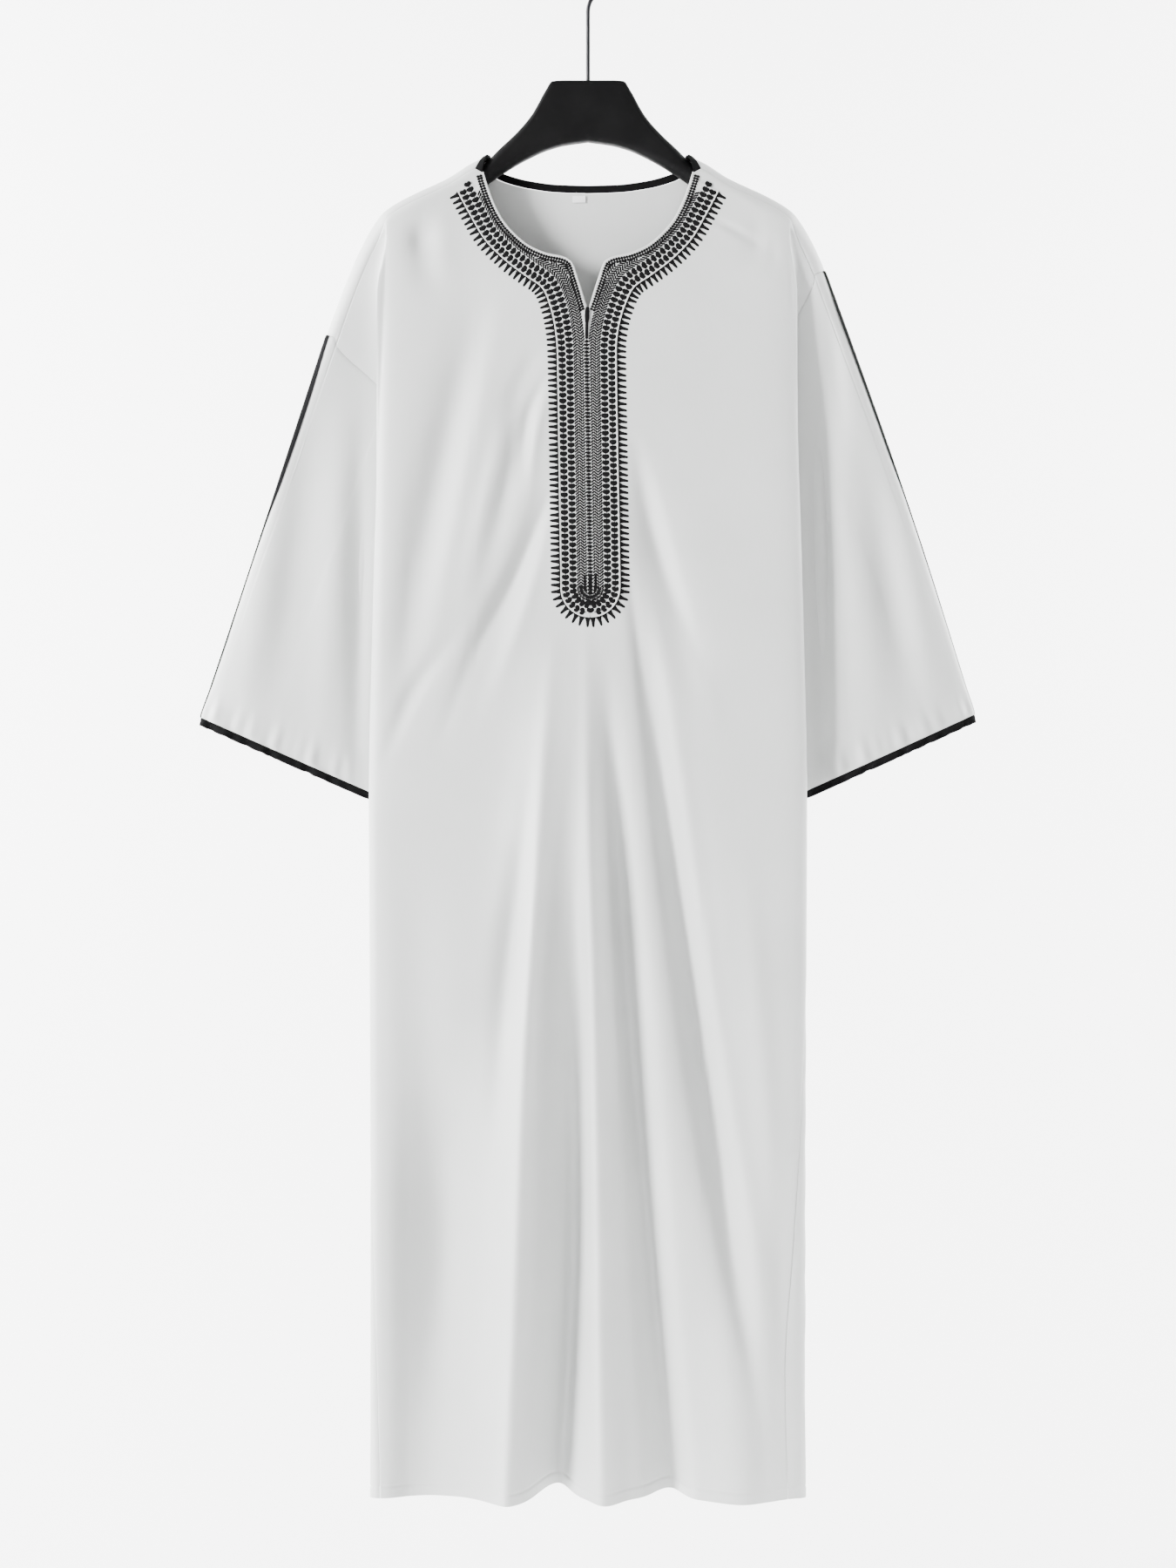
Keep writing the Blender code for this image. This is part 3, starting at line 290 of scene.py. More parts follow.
# The cloth of the body: light off-white satin twill, cut as one back and one front that meet in
# seams a little in front of the shoulders and down the sides. It hangs from the hanger's shoulders,
# nearly flat, with folds that open towards the hem. The back's neck edge takes the black binding.
CLOTH_THICK = 0.6
UNDERARM = 590.0
HEM = 1500.0
HEM_FOLLOWS_FOLDS = 0.35
NECK_HALF = 110.0
TUCK_DROP = 62.0
SECTION_STEADY = 150.0
BACK_REACH = 190.0
FRONT_FOLDS_STOP = 6.0
BACK_FOLDS_START = 62.0
FOLDS_FADE = 34.0
FOLDS_SETTLE = 45.0
SHOULDER_COLUMNS = ("x", "drop")
SHOULDER = (
    (0.0, 176.0),
    (60.0, 184.0),
    (113.0, 206.5),
    (136.0, 221.0),
    (172.0, 238.0),
    (186.0, 245.5),
    (199.0, 254.5),
    (207.0, 264.5),
    (218.0, 283.0),
    (232.0, 314.0),
    (255.0, 374.0),
)
SLEEVE_COLUMNS = ("side", "set_on_x", "cuff_out_x", "cuff_out_drop", "cuff_in_x", "cuff_in_drop", "belly")
SLEEVES = (
    ("left", 255.0, 377.0, 747.0, 205.0, 823.0, 0.0),
    ("right", 231.0, 376.5, 744.0, 205.0, 822.0, 4.0),
)
ROLL_COLUMNS = ("x", "roll", "seam")
ROLL = (
    (0.0, 13.0, 16.0),
    (110.0, 14.0, 16.0),
    (180.0, 18.0, 18.0),
    (200.0, 17.0, 19.0),
    (218.0, 13.0, 20.0),
    (255.0, 9.0, 21.0),
)
BACK_NECK_COLUMNS = ("x", "drop")
BACK_NECK = ((0.0, 233.5), (30.0, 232.5), (60.0, 228.5), (85.0, 221.5), (98.0, 214.0))
SECTION_COLUMNS = ("drop", "half_width", "front", "back", "tuck")
SECTIONS = (
    (590.0, 207.0, -31.0, 28.0, 9.0),
    (650.0, 208.5, -32.0, 29.0, 17.0),
    (830.0, 212.0, -35.0, 31.0, 19.0),
    (1010.0, 211.0, -38.0, 34.0, 14.0),
    (1250.0, 210.0, -42.0, 38.0, 8.0),
    (1515.0, 210.0, -46.0, 42.0, 4.0),
)
SIDE_SEAM_COLUMNS = ("drop", "left", "right")
SIDE_SEAMS = (
    (590.0, 26.0, 26.0),
    (830.0, 17.0, 13.0),
    (1010.0, 9.0, 0.0),
    (1150.0, 1.0, -8.0),
    (1260.0, -4.0, -15.0),
    (1380.0, -9.0, -23.0),
    (1515.0, -13.0, -20.0),
)
FOLD_COLUMNS = ("depth", "wide", "x0", "drop0", "x1", "drop1", "x2", "drop2", "end")
FRONT_FOLDS = (
    (-7.0, 22.0, -104.0, 300.0, -149.0, 523.0, -196.0, 760.0, 0.0),
    (-6.0, 16.0, -34.0, 520.0, -72.0, 616.0, -123.0, 760.0, 0.0),
    (-3.5, 10.0, -46.0, 380.0, -72.0, 438.0, -82.0, 500.0, 0.0),
    (-7.0, 20.0, 40.0, 490.0, 68.0, 600.0, 108.0, 740.0, 0.0),
    (15.0, 26.0, -30.0, 667.0, -55.0, 948.0, -78.0, 1512.0, 0.9),
    (-7.0, 15.0, -58.0, 850.0, -74.0, 965.0, -88.0, 1080.0, 0.0),
    (-24.0, 19.0, -17.0, 900.0, -17.0, 1230.0, -34.0, 1512.0, 1.1),
    (13.0, 17.0, 3.0, 667.0, 5.0, 1067.0, 18.0, 1512.0, 1.0),
    (-15.0, 17.0, 13.0, 690.0, 36.0, 965.0, 76.0, 1512.0, 1.2),
    (-13.0, 24.0, 50.0, 655.0, 112.0, 1067.0, 172.0, 1440.0, 0.1),
    (-13.0, 44.0, -136.0, 1090.0, -134.0, 1240.0, -132.0, 1420.0, 0.2),
    (12.0, 38.0, 150.0, 1180.0, 150.0, 1380.0, 152.0, 1512.0, 1.0),
    (-6.0, 20.0, -170.0, 236.0, -166.0, 262.0, -160.0, 300.0, 0.0),
    (-4.0, 16.0, 168.0, 240.0, 172.0, 262.0, 160.0, 310.0, 0.0),
)
BACK_FOLDS = (
    (6.0, 32.0, -60.0, 420.0, -75.0, 900.0, -96.0, 1512.0, 1.0),
    (-7.0, 26.0, -20.0, 560.0, -28.0, 1100.0, -44.0, 1512.0, 1.1),
    (7.0, 28.0, 14.0, 640.0, 12.0, 1100.0, 6.0, 1512.0, 1.0),
    (-8.0, 24.0, 44.0, 520.0, 62.0, 1000.0, 70.0, 1512.0, 1.0),
    (7.0, 32.0, 100.0, 600.0, 120.0, 1000.0, 128.0, 1512.0, 0.9),
    (-6.0, 26.0, -110.0, 300.0, -130.0, 480.0, -150.0, 700.0, 0.0),
    (-6.0, 24.0, 110.0, 300.0, 134.0, 480.0, 150.0, 680.0, 0.0),
)
FRONT_CREASES = (
    (-13.0, 11.0, 44.0, 590.0, 92.0, 960.0, 168.0, 1450.0, 0.2),
    (5.0, 12.0, 64.0, 620.0, 114.0, 990.0, 192.0, 1430.0, 0.2),
    (-11.0, 10.0, 16.0, 680.0, 42.0, 1060.0, 88.0, 1512.0, 1.3),
    (5.5, 8.0, -33.0, 660.0, -55.0, 948.0, -79.0, 1512.0, 0.8),
    (-7.0, 12.0, -50.0, 780.0, -72.0, 965.0, -94.0, 1200.0, 0.0),
    (-12.0, 10.0, -9.0, 860.0, -10.0, 1200.0, -24.0, 1512.0, 1.25),
    (4.0, 7.0, -2.0, 640.0, 2.0, 1000.0, 12.0, 1512.0, 0.8),
    (-2.6, 14.0, -98.0, 320.0, -136.0, 480.0, -190.0, 740.0, 0.0),
    (-4.6, 12.0, -44.0, 390.0, -78.0, 520.0, -108.0, 640.0, 0.0),
    (3.0, 10.0, -62.0, 400.0, -96.0, 530.0, -124.0, 650.0, 0.0),
    (-3.6, 8.0, -44.0, 560.0, -98.0, 655.0, -148.0, 780.0, 0.0),
    (-4.2, 9.0, -122.0, 655.0, -168.0, 720.0, -208.0, 800.0, 0.5),
    (1.8, 12.0, -82.0, 340.0, -118.0, 500.0, -160.0, 720.0, 0.0),
    (-2.8, 9.0, -38.0, 500.0, -66.0, 600.0, -122.0, 720.0, 0.0),
    (2.0, 8.0, -36.0, 540.0, -58.0, 630.0, -96.0, 740.0, 0.0),
    (-2.6, 5.0, -37.0, 410.0, -58.0, 455.0, -66.0, 520.0, 0.0),
    (2.0, 5.0, -38.0, 430.0, -50.0, 470.0, -58.0, 540.0, 0.0),
    (-2.4, 5.0, -34.0, 520.0, -48.0, 560.0, -64.0, 600.0, 0.0),
    (-4.8, 9.0, 43.0, 470.0, 66.0, 570.0, 118.0, 720.0, 0.0),
    (1.8, 10.0, 52.0, 490.0, 84.0, 610.0, 132.0, 780.0, 0.0),
    (-2.6, 6.0, 34.0, 570.0, 48.0, 680.0, 62.0, 800.0, 0.0),
    (-5.0, 15.0, -192.0, 226.0, -172.0, 264.0, -150.0, 350.0, 0.0),
    (1.8, 12.0, -152.0, 230.0, -146.0, 262.0, -138.0, 330.0, 0.0),
    (-3.0, 6.0, 186.0, 256.0, 184.0, 280.0, 180.0, 320.0, 0.0),
    (-2.4, 5.0, 198.0, 262.0, 196.0, 284.0, 190.0, 330.0, 0.0),
    (-2.2, 7.0, 120.0, 262.0, 140.0, 272.0, 168.0, 290.0, 0.0),
    (-3.0, 22.0, -166.0, 880.0, -160.0, 1060.0, -150.0, 1260.0, 0.0),
    (-15.0, 34.0, -136.0, 1020.0, -146.0, 1300.0, -160.0, 1512.0, 0.8),
    (-3.0, 14.0, 190.0, 1150.0, 186.0, 1330.0, 184.0, 1512.0, 0.5),
    (2.5, 12.0, 150.0, 860.0, 168.0, 1060.0, 186.0, 1260.0, 0.0),
)
BACK_CREASES = (
    (-3.5, 9.0, -24.0, 600.0, -32.0, 1080.0, -50.0, 1512.0, 1.1),
    (3.0, 9.0, -58.0, 520.0, -78.0, 900.0, -98.0, 1512.0, 0.8),
    (-4.0, 10.0, 48.0, 560.0, 64.0, 1010.0, 74.0, 1512.0, 1.2),
    (3.0, 8.0, 20.0, 700.0, 14.0, 1100.0, 8.0, 1512.0, 0.8),
    (-3.5, 12.0, -104.0, 300.0, -126.0, 470.0, -152.0, 690.0, 0.0),
    (3.0, 10.0, -84.0, 320.0, -104.0, 480.0, -130.0, 700.0, 0.0),
    (-3.0, 11.0, 104.0, 310.0, 130.0, 480.0, 150.0, 670.0, 0.0),
    (2.6, 9.0, 84.0, 330.0, 106.0, 500.0, 126.0, 700.0, 0.0),
    (-3.0, 14.0, -150.0, 1050.0, -148.0, 1260.0, -150.0, 1512.0, 0.6),
    (-3.0, 15.0, 160.0, 1100.0, 158.0, 1300.0, 154.0, 1512.0, 0.6),
)
BACK_NECK_STATIONS = (0.0, 98.0, 106.0)
SHOULDER_STATIONS = (110.0, 180.0, 198.0)
COLUMN_SPACING = 2.4
FLAP_SPACING = 2.6
WRAP_ROWS = 20
SEAM_STEPS = 8
BACK_FALL_ROWS = 60
LOWER_ROWS = 150
HEM_ROWS = 16
HEM_DEEP = 20.0
HEM_TURNED = 11.0
HEM_PROUD, HEM_STEP = 0.35, 2.0
HEM_GROOVE, HEM_GROOVE_HALF = 0.45, 1.1
ARMHOLE_SLOPE = 2.6
ARMHOLE_FROM, ARMHOLE_OVER = 190.0, 30.0
FLAP_FROM, FLAP_OVER = -2.0, 12.0
CROSSING_FROM = 96.0
ROLL_PAST = 2.0
WRAP_LEAST = 8.0
BACK_FALL_POWER = 1.2


def ease(t):
    """A soft step from 0 to 1."""
    t = np.clip(t, 0.0, 1.0)
    return t * t * (3 - 2 * t)


def lengths_along(points):
    """The distance run at each point of a line of points."""
    return np.concatenate([[0.0], np.cumsum(np.linalg.norm(np.diff(points, axis=0), axis=1))])


def along(points, runs):
    """The points that lie the given distances along a line of points."""
    run = lengths_along(points)
    return np.stack([np.interp(runs, run, points[:, k]) for k in range(points.shape[1])], axis=-1)


def rounded(knots, steps=16):
    """A soft curve through the knots: cubic pieces whose slopes are those of the neighbours, held short."""
    knots = np.array(knots, float)
    before = np.vstack([2 * knots[0] - knots[1], knots[:-1]])
    after = np.vstack([knots[1:], 2 * knots[-1] - knots[-2]])
    slope = (after - before) / 2
    a, b = knots[:-1, None], knots[1:, None]
    reach = np.linalg.norm(b - a, axis=2, keepdims=True)
    u, v = slope[:-1, None], slope[1:, None]
    u = u * np.minimum(1.0, reach / np.maximum(np.linalg.norm(u, axis=2, keepdims=True), 1e-9))
    v = v * np.minimum(1.0, reach / np.maximum(np.linalg.norm(v, axis=2, keepdims=True), 1e-9))
    t = np.linspace(0, 1, steps, endpoint=False)[None, :, None]
    bends = a * (2 * t**3 - 3 * t**2 + 1) + u * (t**3 - 2 * t**2 + t)
    bends = bends + b * (3 * t**2 - 2 * t**3) + v * (t**3 - t**2)
    return np.vstack([bends.reshape(-1, knots.shape[1]), knots[-1:]])


def fold_height(folds, x, drop):
    """How far the cloth stands proud, or sinks where it is below 0.

    Each fold is a bell across a bent line. It swells from nothing at its first station to its full
    depth at its second, and goes on to the given end share at its third.
    """
    total = np.zeros(np.broadcast(x, drop).shape)
    for row in folds:
        fold = dict(zip(FOLD_COLUMNS, row))
        stations = np.array([fold["drop0"], fold["drop1"], fold["drop2"]])
        line = smooth(drop, stations, np.array([fold["x0"], fold["x1"], fold["x2"]]))
        strength = smooth(drop, stations, np.array([0.0, 1.0, fold["end"]]))
        total = total + fold["depth"] * strength * np.exp(-(((x - line) / fold["wide"]) ** 2))
    return total


def half_section(drop):
    """One side of the body's section, from the middle of the front round to the middle of the back.

    The front is nearly flat out to the side, turns over there, dips in by the tuck and comes out
    again to the back. The second value is the distance along it to its widest point.
    """
    cut = table(SECTIONS, SECTION_COLUMNS)
    w, front, back, tuck = (smooth(drop, cut["drop"], cut[key]) for key in SECTION_COLUMNS[1:])
    knots = (
        (0.0, front),
        (0.5 * w, front),
        (w - 24, front + 0.4),
        (w - 7, front + 2.2),
        (w, front + 8),
        (w - 5, front + 15),
        (w - tuck, front + 27),
        (w - tuck - 3, back - 15),
        (w - tuck - 14, back - 3),
        (0.5 * w, back),
        (0.0, back),
    )
    line = rounded(knots)
    return line, lengths_along(line)[np.argmax(line[:, 0])]


class Side:
    """One side of the robe: the run of its shoulder line, its side seam and its sleeve."""

    def __init__(self, row):
        sleeve = dict(zip(SLEEVE_COLUMNS, row))
        self.name = sleeve["side"]
        self.sign = -1.0 if self.name == "left" else 1.0
        self.set_on = sleeve["set_on_x"]
        self.cuff_out = np.array([sleeve["cuff_out_x"], sleeve["cuff_out_drop"]])
        self.cuff_in = np.array([sleeve["cuff_in_x"], sleeve["cuff_in_drop"]])
        self.belly = sleeve["belly"]
        shoulder = spread(SHOULDER_STATIONS, COLUMN_SPACING)
        self.shoulder = np.concatenate([shoulder, spread((shoulder[-1], self.set_on), FLAP_SPACING)[1:]])
        seams = table(SIDE_SEAMS, SIDE_SEAM_COLUMNS)
        self.seam_drops = seams["drop"]
        self.seam_behind = seams[self.name]

    def side_seam(self, drop):
        """How far behind the fold at the side the seam lies at a drop."""
        return smooth(drop, self.seam_drops, self.seam_behind)


def shoulder_line(x):
    """The drop of the shoulder line at x, and the direction that lies down and in from it."""
    line = table(SHOULDER, SHOULDER_COLUMNS)
    drop = smooth(x, line["x"], line["drop"])
    rise = (smooth(x + 1, line["x"], line["drop"]) - smooth(x - 1, line["x"], line["drop"])) / 2
    rise = np.where(x >= line["x"][-1] - 1, ARMHOLE_SLOPE, rise)
    lean = ease((x - ARMHOLE_FROM) / ARMHOLE_OVER)
    inward = np.stack([-lean * rise, np.ones_like(x)], -1)
    return drop, inward / np.linalg.norm(inward, axis=-1, keepdims=True)


def roll_at(x):
    """The radius of the roll over the shoulder line at x, and how far in front of it the seam lies."""
    roll = table(ROLL, ROLL_COLUMNS)
    return smooth(x, roll["x"], roll["roll"]), smooth(x, roll["x"], roll["seam"])


def section_points(station, side, drop, face):
    """Points of the body's section at a drop, folds left out, with how squarely each faces front or back.

    A station keeps its distance from the middle out to the steady width, and past that the cloth is
    stretched or drawn in evenly so that its last station lies on the side seam.
    """
    top_line, top_edge = half_section(UNDERARM)
    line, edge = half_section(drop)
    whole = lengths_along(line)[-1]
    seam_top = top_edge + side.side_seam(UNDERARM)
    seam_low = edge + side.side_seam(drop)
    reach = top_edge
    if face == "back":
        reach = BACK_REACH
        seam_top = lengths_along(top_line)[-1] - seam_top
        seam_low = whole - seam_low
    last = SHOULDER_STATIONS[-1]
    beyond = np.clip((station - last) / (side.set_on - last), 0, 1)
    run = np.where(station <= last, station * reach / last, reach + beyond * (seam_top - reach))
    stretch = (seam_low - SECTION_STEADY) / (seam_top - SECTION_STEADY)
    run = np.where(run <= SECTION_STEADY, run, SECTION_STEADY + (run - SECTION_STEADY) * stretch)
    from_front = run if face == "front" else whole - run
    flat = along(line, from_front)
    front_share = ease((edge - FRONT_FOLDS_STOP - from_front) / FOLDS_FADE)
    back_share = ease((from_front - edge - BACK_FOLDS_START) / FOLDS_FADE)
    return flat[:, 0] * side.sign, flat[:, 1], front_share, back_share


def folded(x, y, drop, front_share, back_share):
    """The section's depth with the folds of the front and of the back worked in, and the finer creases."""
    front = fold_height(FRONT_FOLDS + FRONT_CREASES, x, drop)
    back = fold_height(BACK_FOLDS + BACK_CREASES, x, drop)
    return y - front * front_share + back * back_share


def fall(station, side, face, reach):
    """The cloth over and below the shoulder line: a roll round it, then a straight fall to the underarm.

    reach, a row of stations for each row of the grid, is the distance along the cloth from the
    shoulder line, negative on the front. The roll is an arc of its own radius, and past it each
    point goes evenly to its place on the underarm's section.
    """
    drop, inward = shoulder_line(station)
    radius, _ = roll_at(station)
    arc = np.minimum(np.abs(reach), radius * math.pi / 2)
    straight = np.abs(reach) - arc
    turn = arc / radius
    dip = radius * (1 - np.cos(turn))
    out = np.sign(reach) * radius * np.sin(turn)
    start_x = station + dip * inward[:, 0]
    start_drop = drop + dip * inward[:, 1]
    x1, y1, front_share, back_share = section_points(station, side, UNDERARM, face)
    span = UNDERARM - start_drop
    share = np.clip(straight / span, 0, 1)
    quick = ease(straight / TUCK_DROP)
    beyond = 0.0 if face == "back" else ease((station - SHOULDER_STATIONS[-1] - FLAP_FROM) / FLAP_OVER)
    share_xy = share * (1 - beyond) + quick * beyond
    x = start_x * side.sign + (x1 - start_x * side.sign) * share_xy
    y = out + (y1 - out) * share_xy
    at = start_drop + span * share
    settle = ease(straight / FOLDS_SETTLE)
    y = folded(x, y, at, front_share * settle, back_share * settle)
    return np.stack([x, y, -at], -1)


def fall_length(station):
    """How much cloth there is from the shoulder line to the underarm."""
    drop, inward = shoulder_line(station)
    radius, _ = roll_at(station)
    return radius * math.pi / 2 + UNDERARM - drop - radius * inward[:, 1]


def reach_of_drop(station, wanted):
    """How far along the cloth a wanted drop lies, where that is on the straight fall or on the roll."""
    drop, _ = shoulder_line(station)
    radius, _ = roll_at(station)
    below = wanted - drop
    on_roll = radius * np.arccos(np.clip(1 - below / radius, -1, 1))
    return np.where(below > radius, radius * math.pi / 2 + below - radius, on_roll)


def lower_part(station, side, face):
    """The cloth from just below the underarm to the hem, each row on its own section of the body."""
    x, _, front_share, back_share = section_points(station, side, HEM, face)
    at_hem = np.full_like(x, HEM)
    front, back = fold_height(FRONT_FOLDS, x, at_hem), fold_height(BACK_FOLDS, x, at_hem)
    bottom = HEM + HEM_FOLLOWS_FOLDS * (front * front_share + back * back_share)
    rows = []
    hem_share = 1 - HEM_DEEP / (HEM - UNDERARM)
    upper = np.linspace(0, hem_share, LOWER_ROWS - HEM_ROWS + 1)[1:]
    for share in np.concatenate([upper, np.linspace(hem_share, 1, HEM_ROWS + 1)[1:]]):
        section = UNDERARM + (HEM - UNDERARM) * share
        x, y, front_share, back_share = section_points(station, side, section, face)
        at = UNDERARM + (bottom - UNDERARM) * share
        rows.append(np.stack([x, folded(x, y, at, front_share, back_share), -at], -1))
    return np.array(rows)


def back_half(side):
    """Half of the back panel: over the shoulder from the seam on the front, then down to the hem."""
    station = np.concatenate([spread(BACK_NECK_STATIONS, COLUMN_SPACING), side.shoulder])
    neck = table(BACK_NECK, BACK_NECK_COLUMNS)
    radius, seam = roll_at(station)
    seam_reach = -(seam - SEAM / 2)
    neck_reach = reach_of_drop(station, smooth(station, neck["x"], neck["drop"]))
    crossing = ease((station - CROSSING_FROM) / (NECK_HALF - CROSSING_FROM))
    edge_reach = neck_reach + (seam_reach - neck_reach) * crossing
    top = np.where(station < NECK_HALF, edge_reach, seam_reach)
    rolled = np.maximum(radius * math.pi / 2 + ROLL_PAST, top + WRAP_LEAST)
    length = fall_length(station)
    wrap = np.linspace(0, 1, WRAP_ROWS + 1)[:-1, None]
    down = np.linspace(0, 1, BACK_FALL_ROWS)[:, None] ** BACK_FALL_POWER
    reach = np.concatenate([top + (rolled - top) * wrap, rolled + (length - rolled) * down])
    return np.concatenate([fall(station, side, "back", reach), lower_part(station, side, "back")])


def lengths_of_columns(grid):
    """The distance run down each column of a grid."""
    step = np.linalg.norm(np.diff(grid, axis=0), axis=2)
    return np.concatenate([np.zeros((1, grid.shape[1])), np.cumsum(step, axis=0)])


def hem_turned(grid, normals):
    """Turns the hem up: the cloth stands a little proud over the fold and sinks along its stitching."""
    up = lengths_of_columns(grid[::-1])[::-1]
    proud = HEM_PROUD * ease((HEM_TURNED - up) / HEM_STEP)
    sunk = HEM_GROOVE * np.exp(-(((up - HEM_TURNED) / HEM_GROOVE_HALF) ** 2))
    grid += normals * (proud - sunk)[..., None]


def both_halves(left, right):
    """Both halves as one grid that runs from the left seam to the right seam."""
    return np.concatenate([left[:, :0:-1], right], axis=1)


def grid_normals(grid, ring=False):
    """Unit normals of a grid of points: the cross product of its run down and its run across."""
    down = np.gradient(grid, axis=0)
    if ring:
        across = (np.roll(grid, -1, axis=1) - np.roll(grid, 1, axis=1)) / 2
    else:
        across = np.gradient(grid, axis=1)
    normal = np.cross(down, across)
    return normal / np.maximum(np.linalg.norm(normal, axis=2, keepdims=True), 1e-9)


def lay_flat(grid, ring=False):
    """Each point's place on the flat cloth: how far it is across its row and down its column."""
    if ring:
        grid = np.concatenate([grid, grid[:, :1]], axis=1)
    across = np.linalg.norm(np.diff(grid, axis=1), axis=2)
    across = np.concatenate([np.zeros((len(grid), 1)), np.cumsum(across, axis=1)], axis=1)
    down = lengths_of_columns(grid)
    middle = grid.shape[1] // 2
    return np.stack([across - across[:, middle : middle + 1], down - down[-1:]], -1)


def cloth(name, grid, normals, material, thick=CLOTH_THICK, ring=False, outward=1.0):
    """A thin closed shell: the grid moved out and in by half the cloth's thickness and joined at its rims."""
    rows, columns = grid.shape[:2]
    count = rows * columns
    flat = lay_flat(grid, ring)
    skin = cells(rows, columns, ring)
    i, j = np.meshgrid(np.arange(rows - 1), np.arange(flat.shape[1] - 1), indexing="ij")
    skin_uv = np.stack([flat[i, j], flat[i + 1, j], flat[i + 1, j + 1], flat[i, j + 1]], 2).reshape(-1, 4, 2)
    index = np.arange(count).reshape(rows, columns)
    borders = [index[0], index[-1][::-1]]
    if not ring:
        borders = [np.concatenate([index[0, :-1], index[:-1, -1], index[-1, :0:-1], index[:0:-1, 0]])]
    rims = []
    for border in borders:
        after = np.roll(border, -1)
        rims.append(np.stack([border, after, after + count, border + count], -1))
    rims = np.concatenate(rims)
    rim_uv = flat[:, :columns].reshape(-1, 2)[rims % count]
    if outward < 0:
        skin, skin_uv, rims, rim_uv = (part[:, ::-1] for part in (skin, skin_uv, rims, rim_uv))
    points = np.concatenate([grid + normals * thick / 2, grid - normals * thick / 2]).reshape(-1, 3)
    faces = np.concatenate([skin, skin[:, ::-1] + count, rims])
    uv = np.concatenate([skin_uv, skin_uv[:, ::-1], rim_uv]).reshape(-1, 2)
    return as_mesh(name, points, faces, material, uv)


def add_socket(group, name, kind, incoming, value=None):
    """A socket on a node group, with its plain value where it has one."""
    way = "INPUT" if incoming else "OUTPUT"
    socket = group.interface.new_socket(name=name, in_out=way, socket_type=kind)
    if value is not None:
        socket.default_value = value


def twill_group():
    """The weave shared by all the woven pieces, in the cloth's own flat coordinates.

    Ribs are a sine of across plus down, threads are a sine of across alone, and slubs are a noise
    drawn out along the warp. It puts out a height, and a mask of slightly thicker threads.
    """
    group = bpy.data.node_groups.new("twill_weave", "ShaderNodeTree")
    add_socket(group, "Place", "NodeSocketVector", True)
    add_socket(group, "Threads per metre", "NodeSocketFloat", True, 2200.0)
    add_socket(group, "Slope", "NodeSocketFloat", True, 1.0)
    add_socket(group, "Height", "NodeSocketFloat", False)
    add_socket(group, "Slub", "NodeSocketFloat", False)
    nodes, links = group.nodes, group.links
    take = nodes.new("NodeGroupInput")
    give = nodes.new("NodeGroupOutput")
    split = nodes.new("ShaderNodeSeparateXYZ")
    links.new(take.outputs["Place"], split.inputs["Vector"])
    threads = take.outputs["Threads per metre"]
    full_turn = 2 * math.pi
    leaning = math_node(nodes, links, "MULTIPLY", split.outputs["Y"], take.outputs["Slope"])
    diagonal = math_node(nodes, links, "ADD", split.outputs["X"], leaning)
    ribs = math_node(nodes, links, "MULTIPLY", diagonal, threads)
    rib = math_node(nodes, links, "SINE", math_node(nodes, links, "MULTIPLY", ribs, full_turn))
    fine = math_node(nodes, links, "MULTIPLY", split.outputs["X"], threads)
    thread = math_node(nodes, links, "SINE", math_node(nodes, links, "MULTIPLY", fine, 2 * full_turn))
    stretch = nodes.new("ShaderNodeMapping")
    stretch.inputs["Scale"].default_value = (1400.0, 60.0, 1.0)
    links.new(take.outputs["Place"], stretch.inputs["Vector"])
    slub = noise(nodes, links, stretch.outputs["Vector"], 1.0, 2.0)
    woven = math_node(nodes, links, "MULTIPLY_ADD", thread, 0.5, rib)
    links.new(math_node(nodes, links, "MULTIPLY_ADD", slub, 1.2, woven), give.inputs["Height"])
    links.new(slub, give.inputs["Slub"])
    return group


twill = twill_group()


def satin_material(name, dark, light, rough, depth, threads, slope=1.0, sheen=0.0, shine=0.5):
    """Woven cloth: two close tones set by its slubs and a broad mottle, and the weave as bump."""
    material, shader, nodes, links = new_material(name)
    shader.inputs["Sheen Weight"].default_value = sheen
    shader.inputs["Sheen Roughness"].default_value = 0.4
    shader.inputs["Specular IOR Level"].default_value = shine
    place = nodes.new("ShaderNodeUVMap")
    place.uv_map = "cloth"
    weave = nodes.new("ShaderNodeGroup")
    weave.node_tree = twill
    weave.inputs["Threads per metre"].default_value = threads
    weave.inputs["Slope"].default_value = slope
    links.new(place.outputs["UV"], weave.inputs["Place"])
    slub, height = weave.outputs["Slub"], weave.outputs["Height"]
    mottle = noise(nodes, links, place.outputs["UV"], 9.0, 3.0)
    mixed = math_node(nodes, links, "MULTIPLY_ADD", slub, 0.5, mottle)
    colour = two_tones(nodes, links, mixed, 0.45, dark, 1.0, light)
    dress(shader, nodes, links, colour, slub, (rough, rough + 0.12), height, 0.5, depth)
    return material


white_twill = satin_material(
    "off_white_satin_twill", (0.53, 0.54, 0.533), (0.58, 0.59, 0.584), 0.5, 0.00002, 1500.0, sheen=0.05
)
left, right = (Side(row) for row in SLEEVES)
back_grid = both_halves(back_half(left), back_half(right))
back_normals = -grid_normals(back_grid)


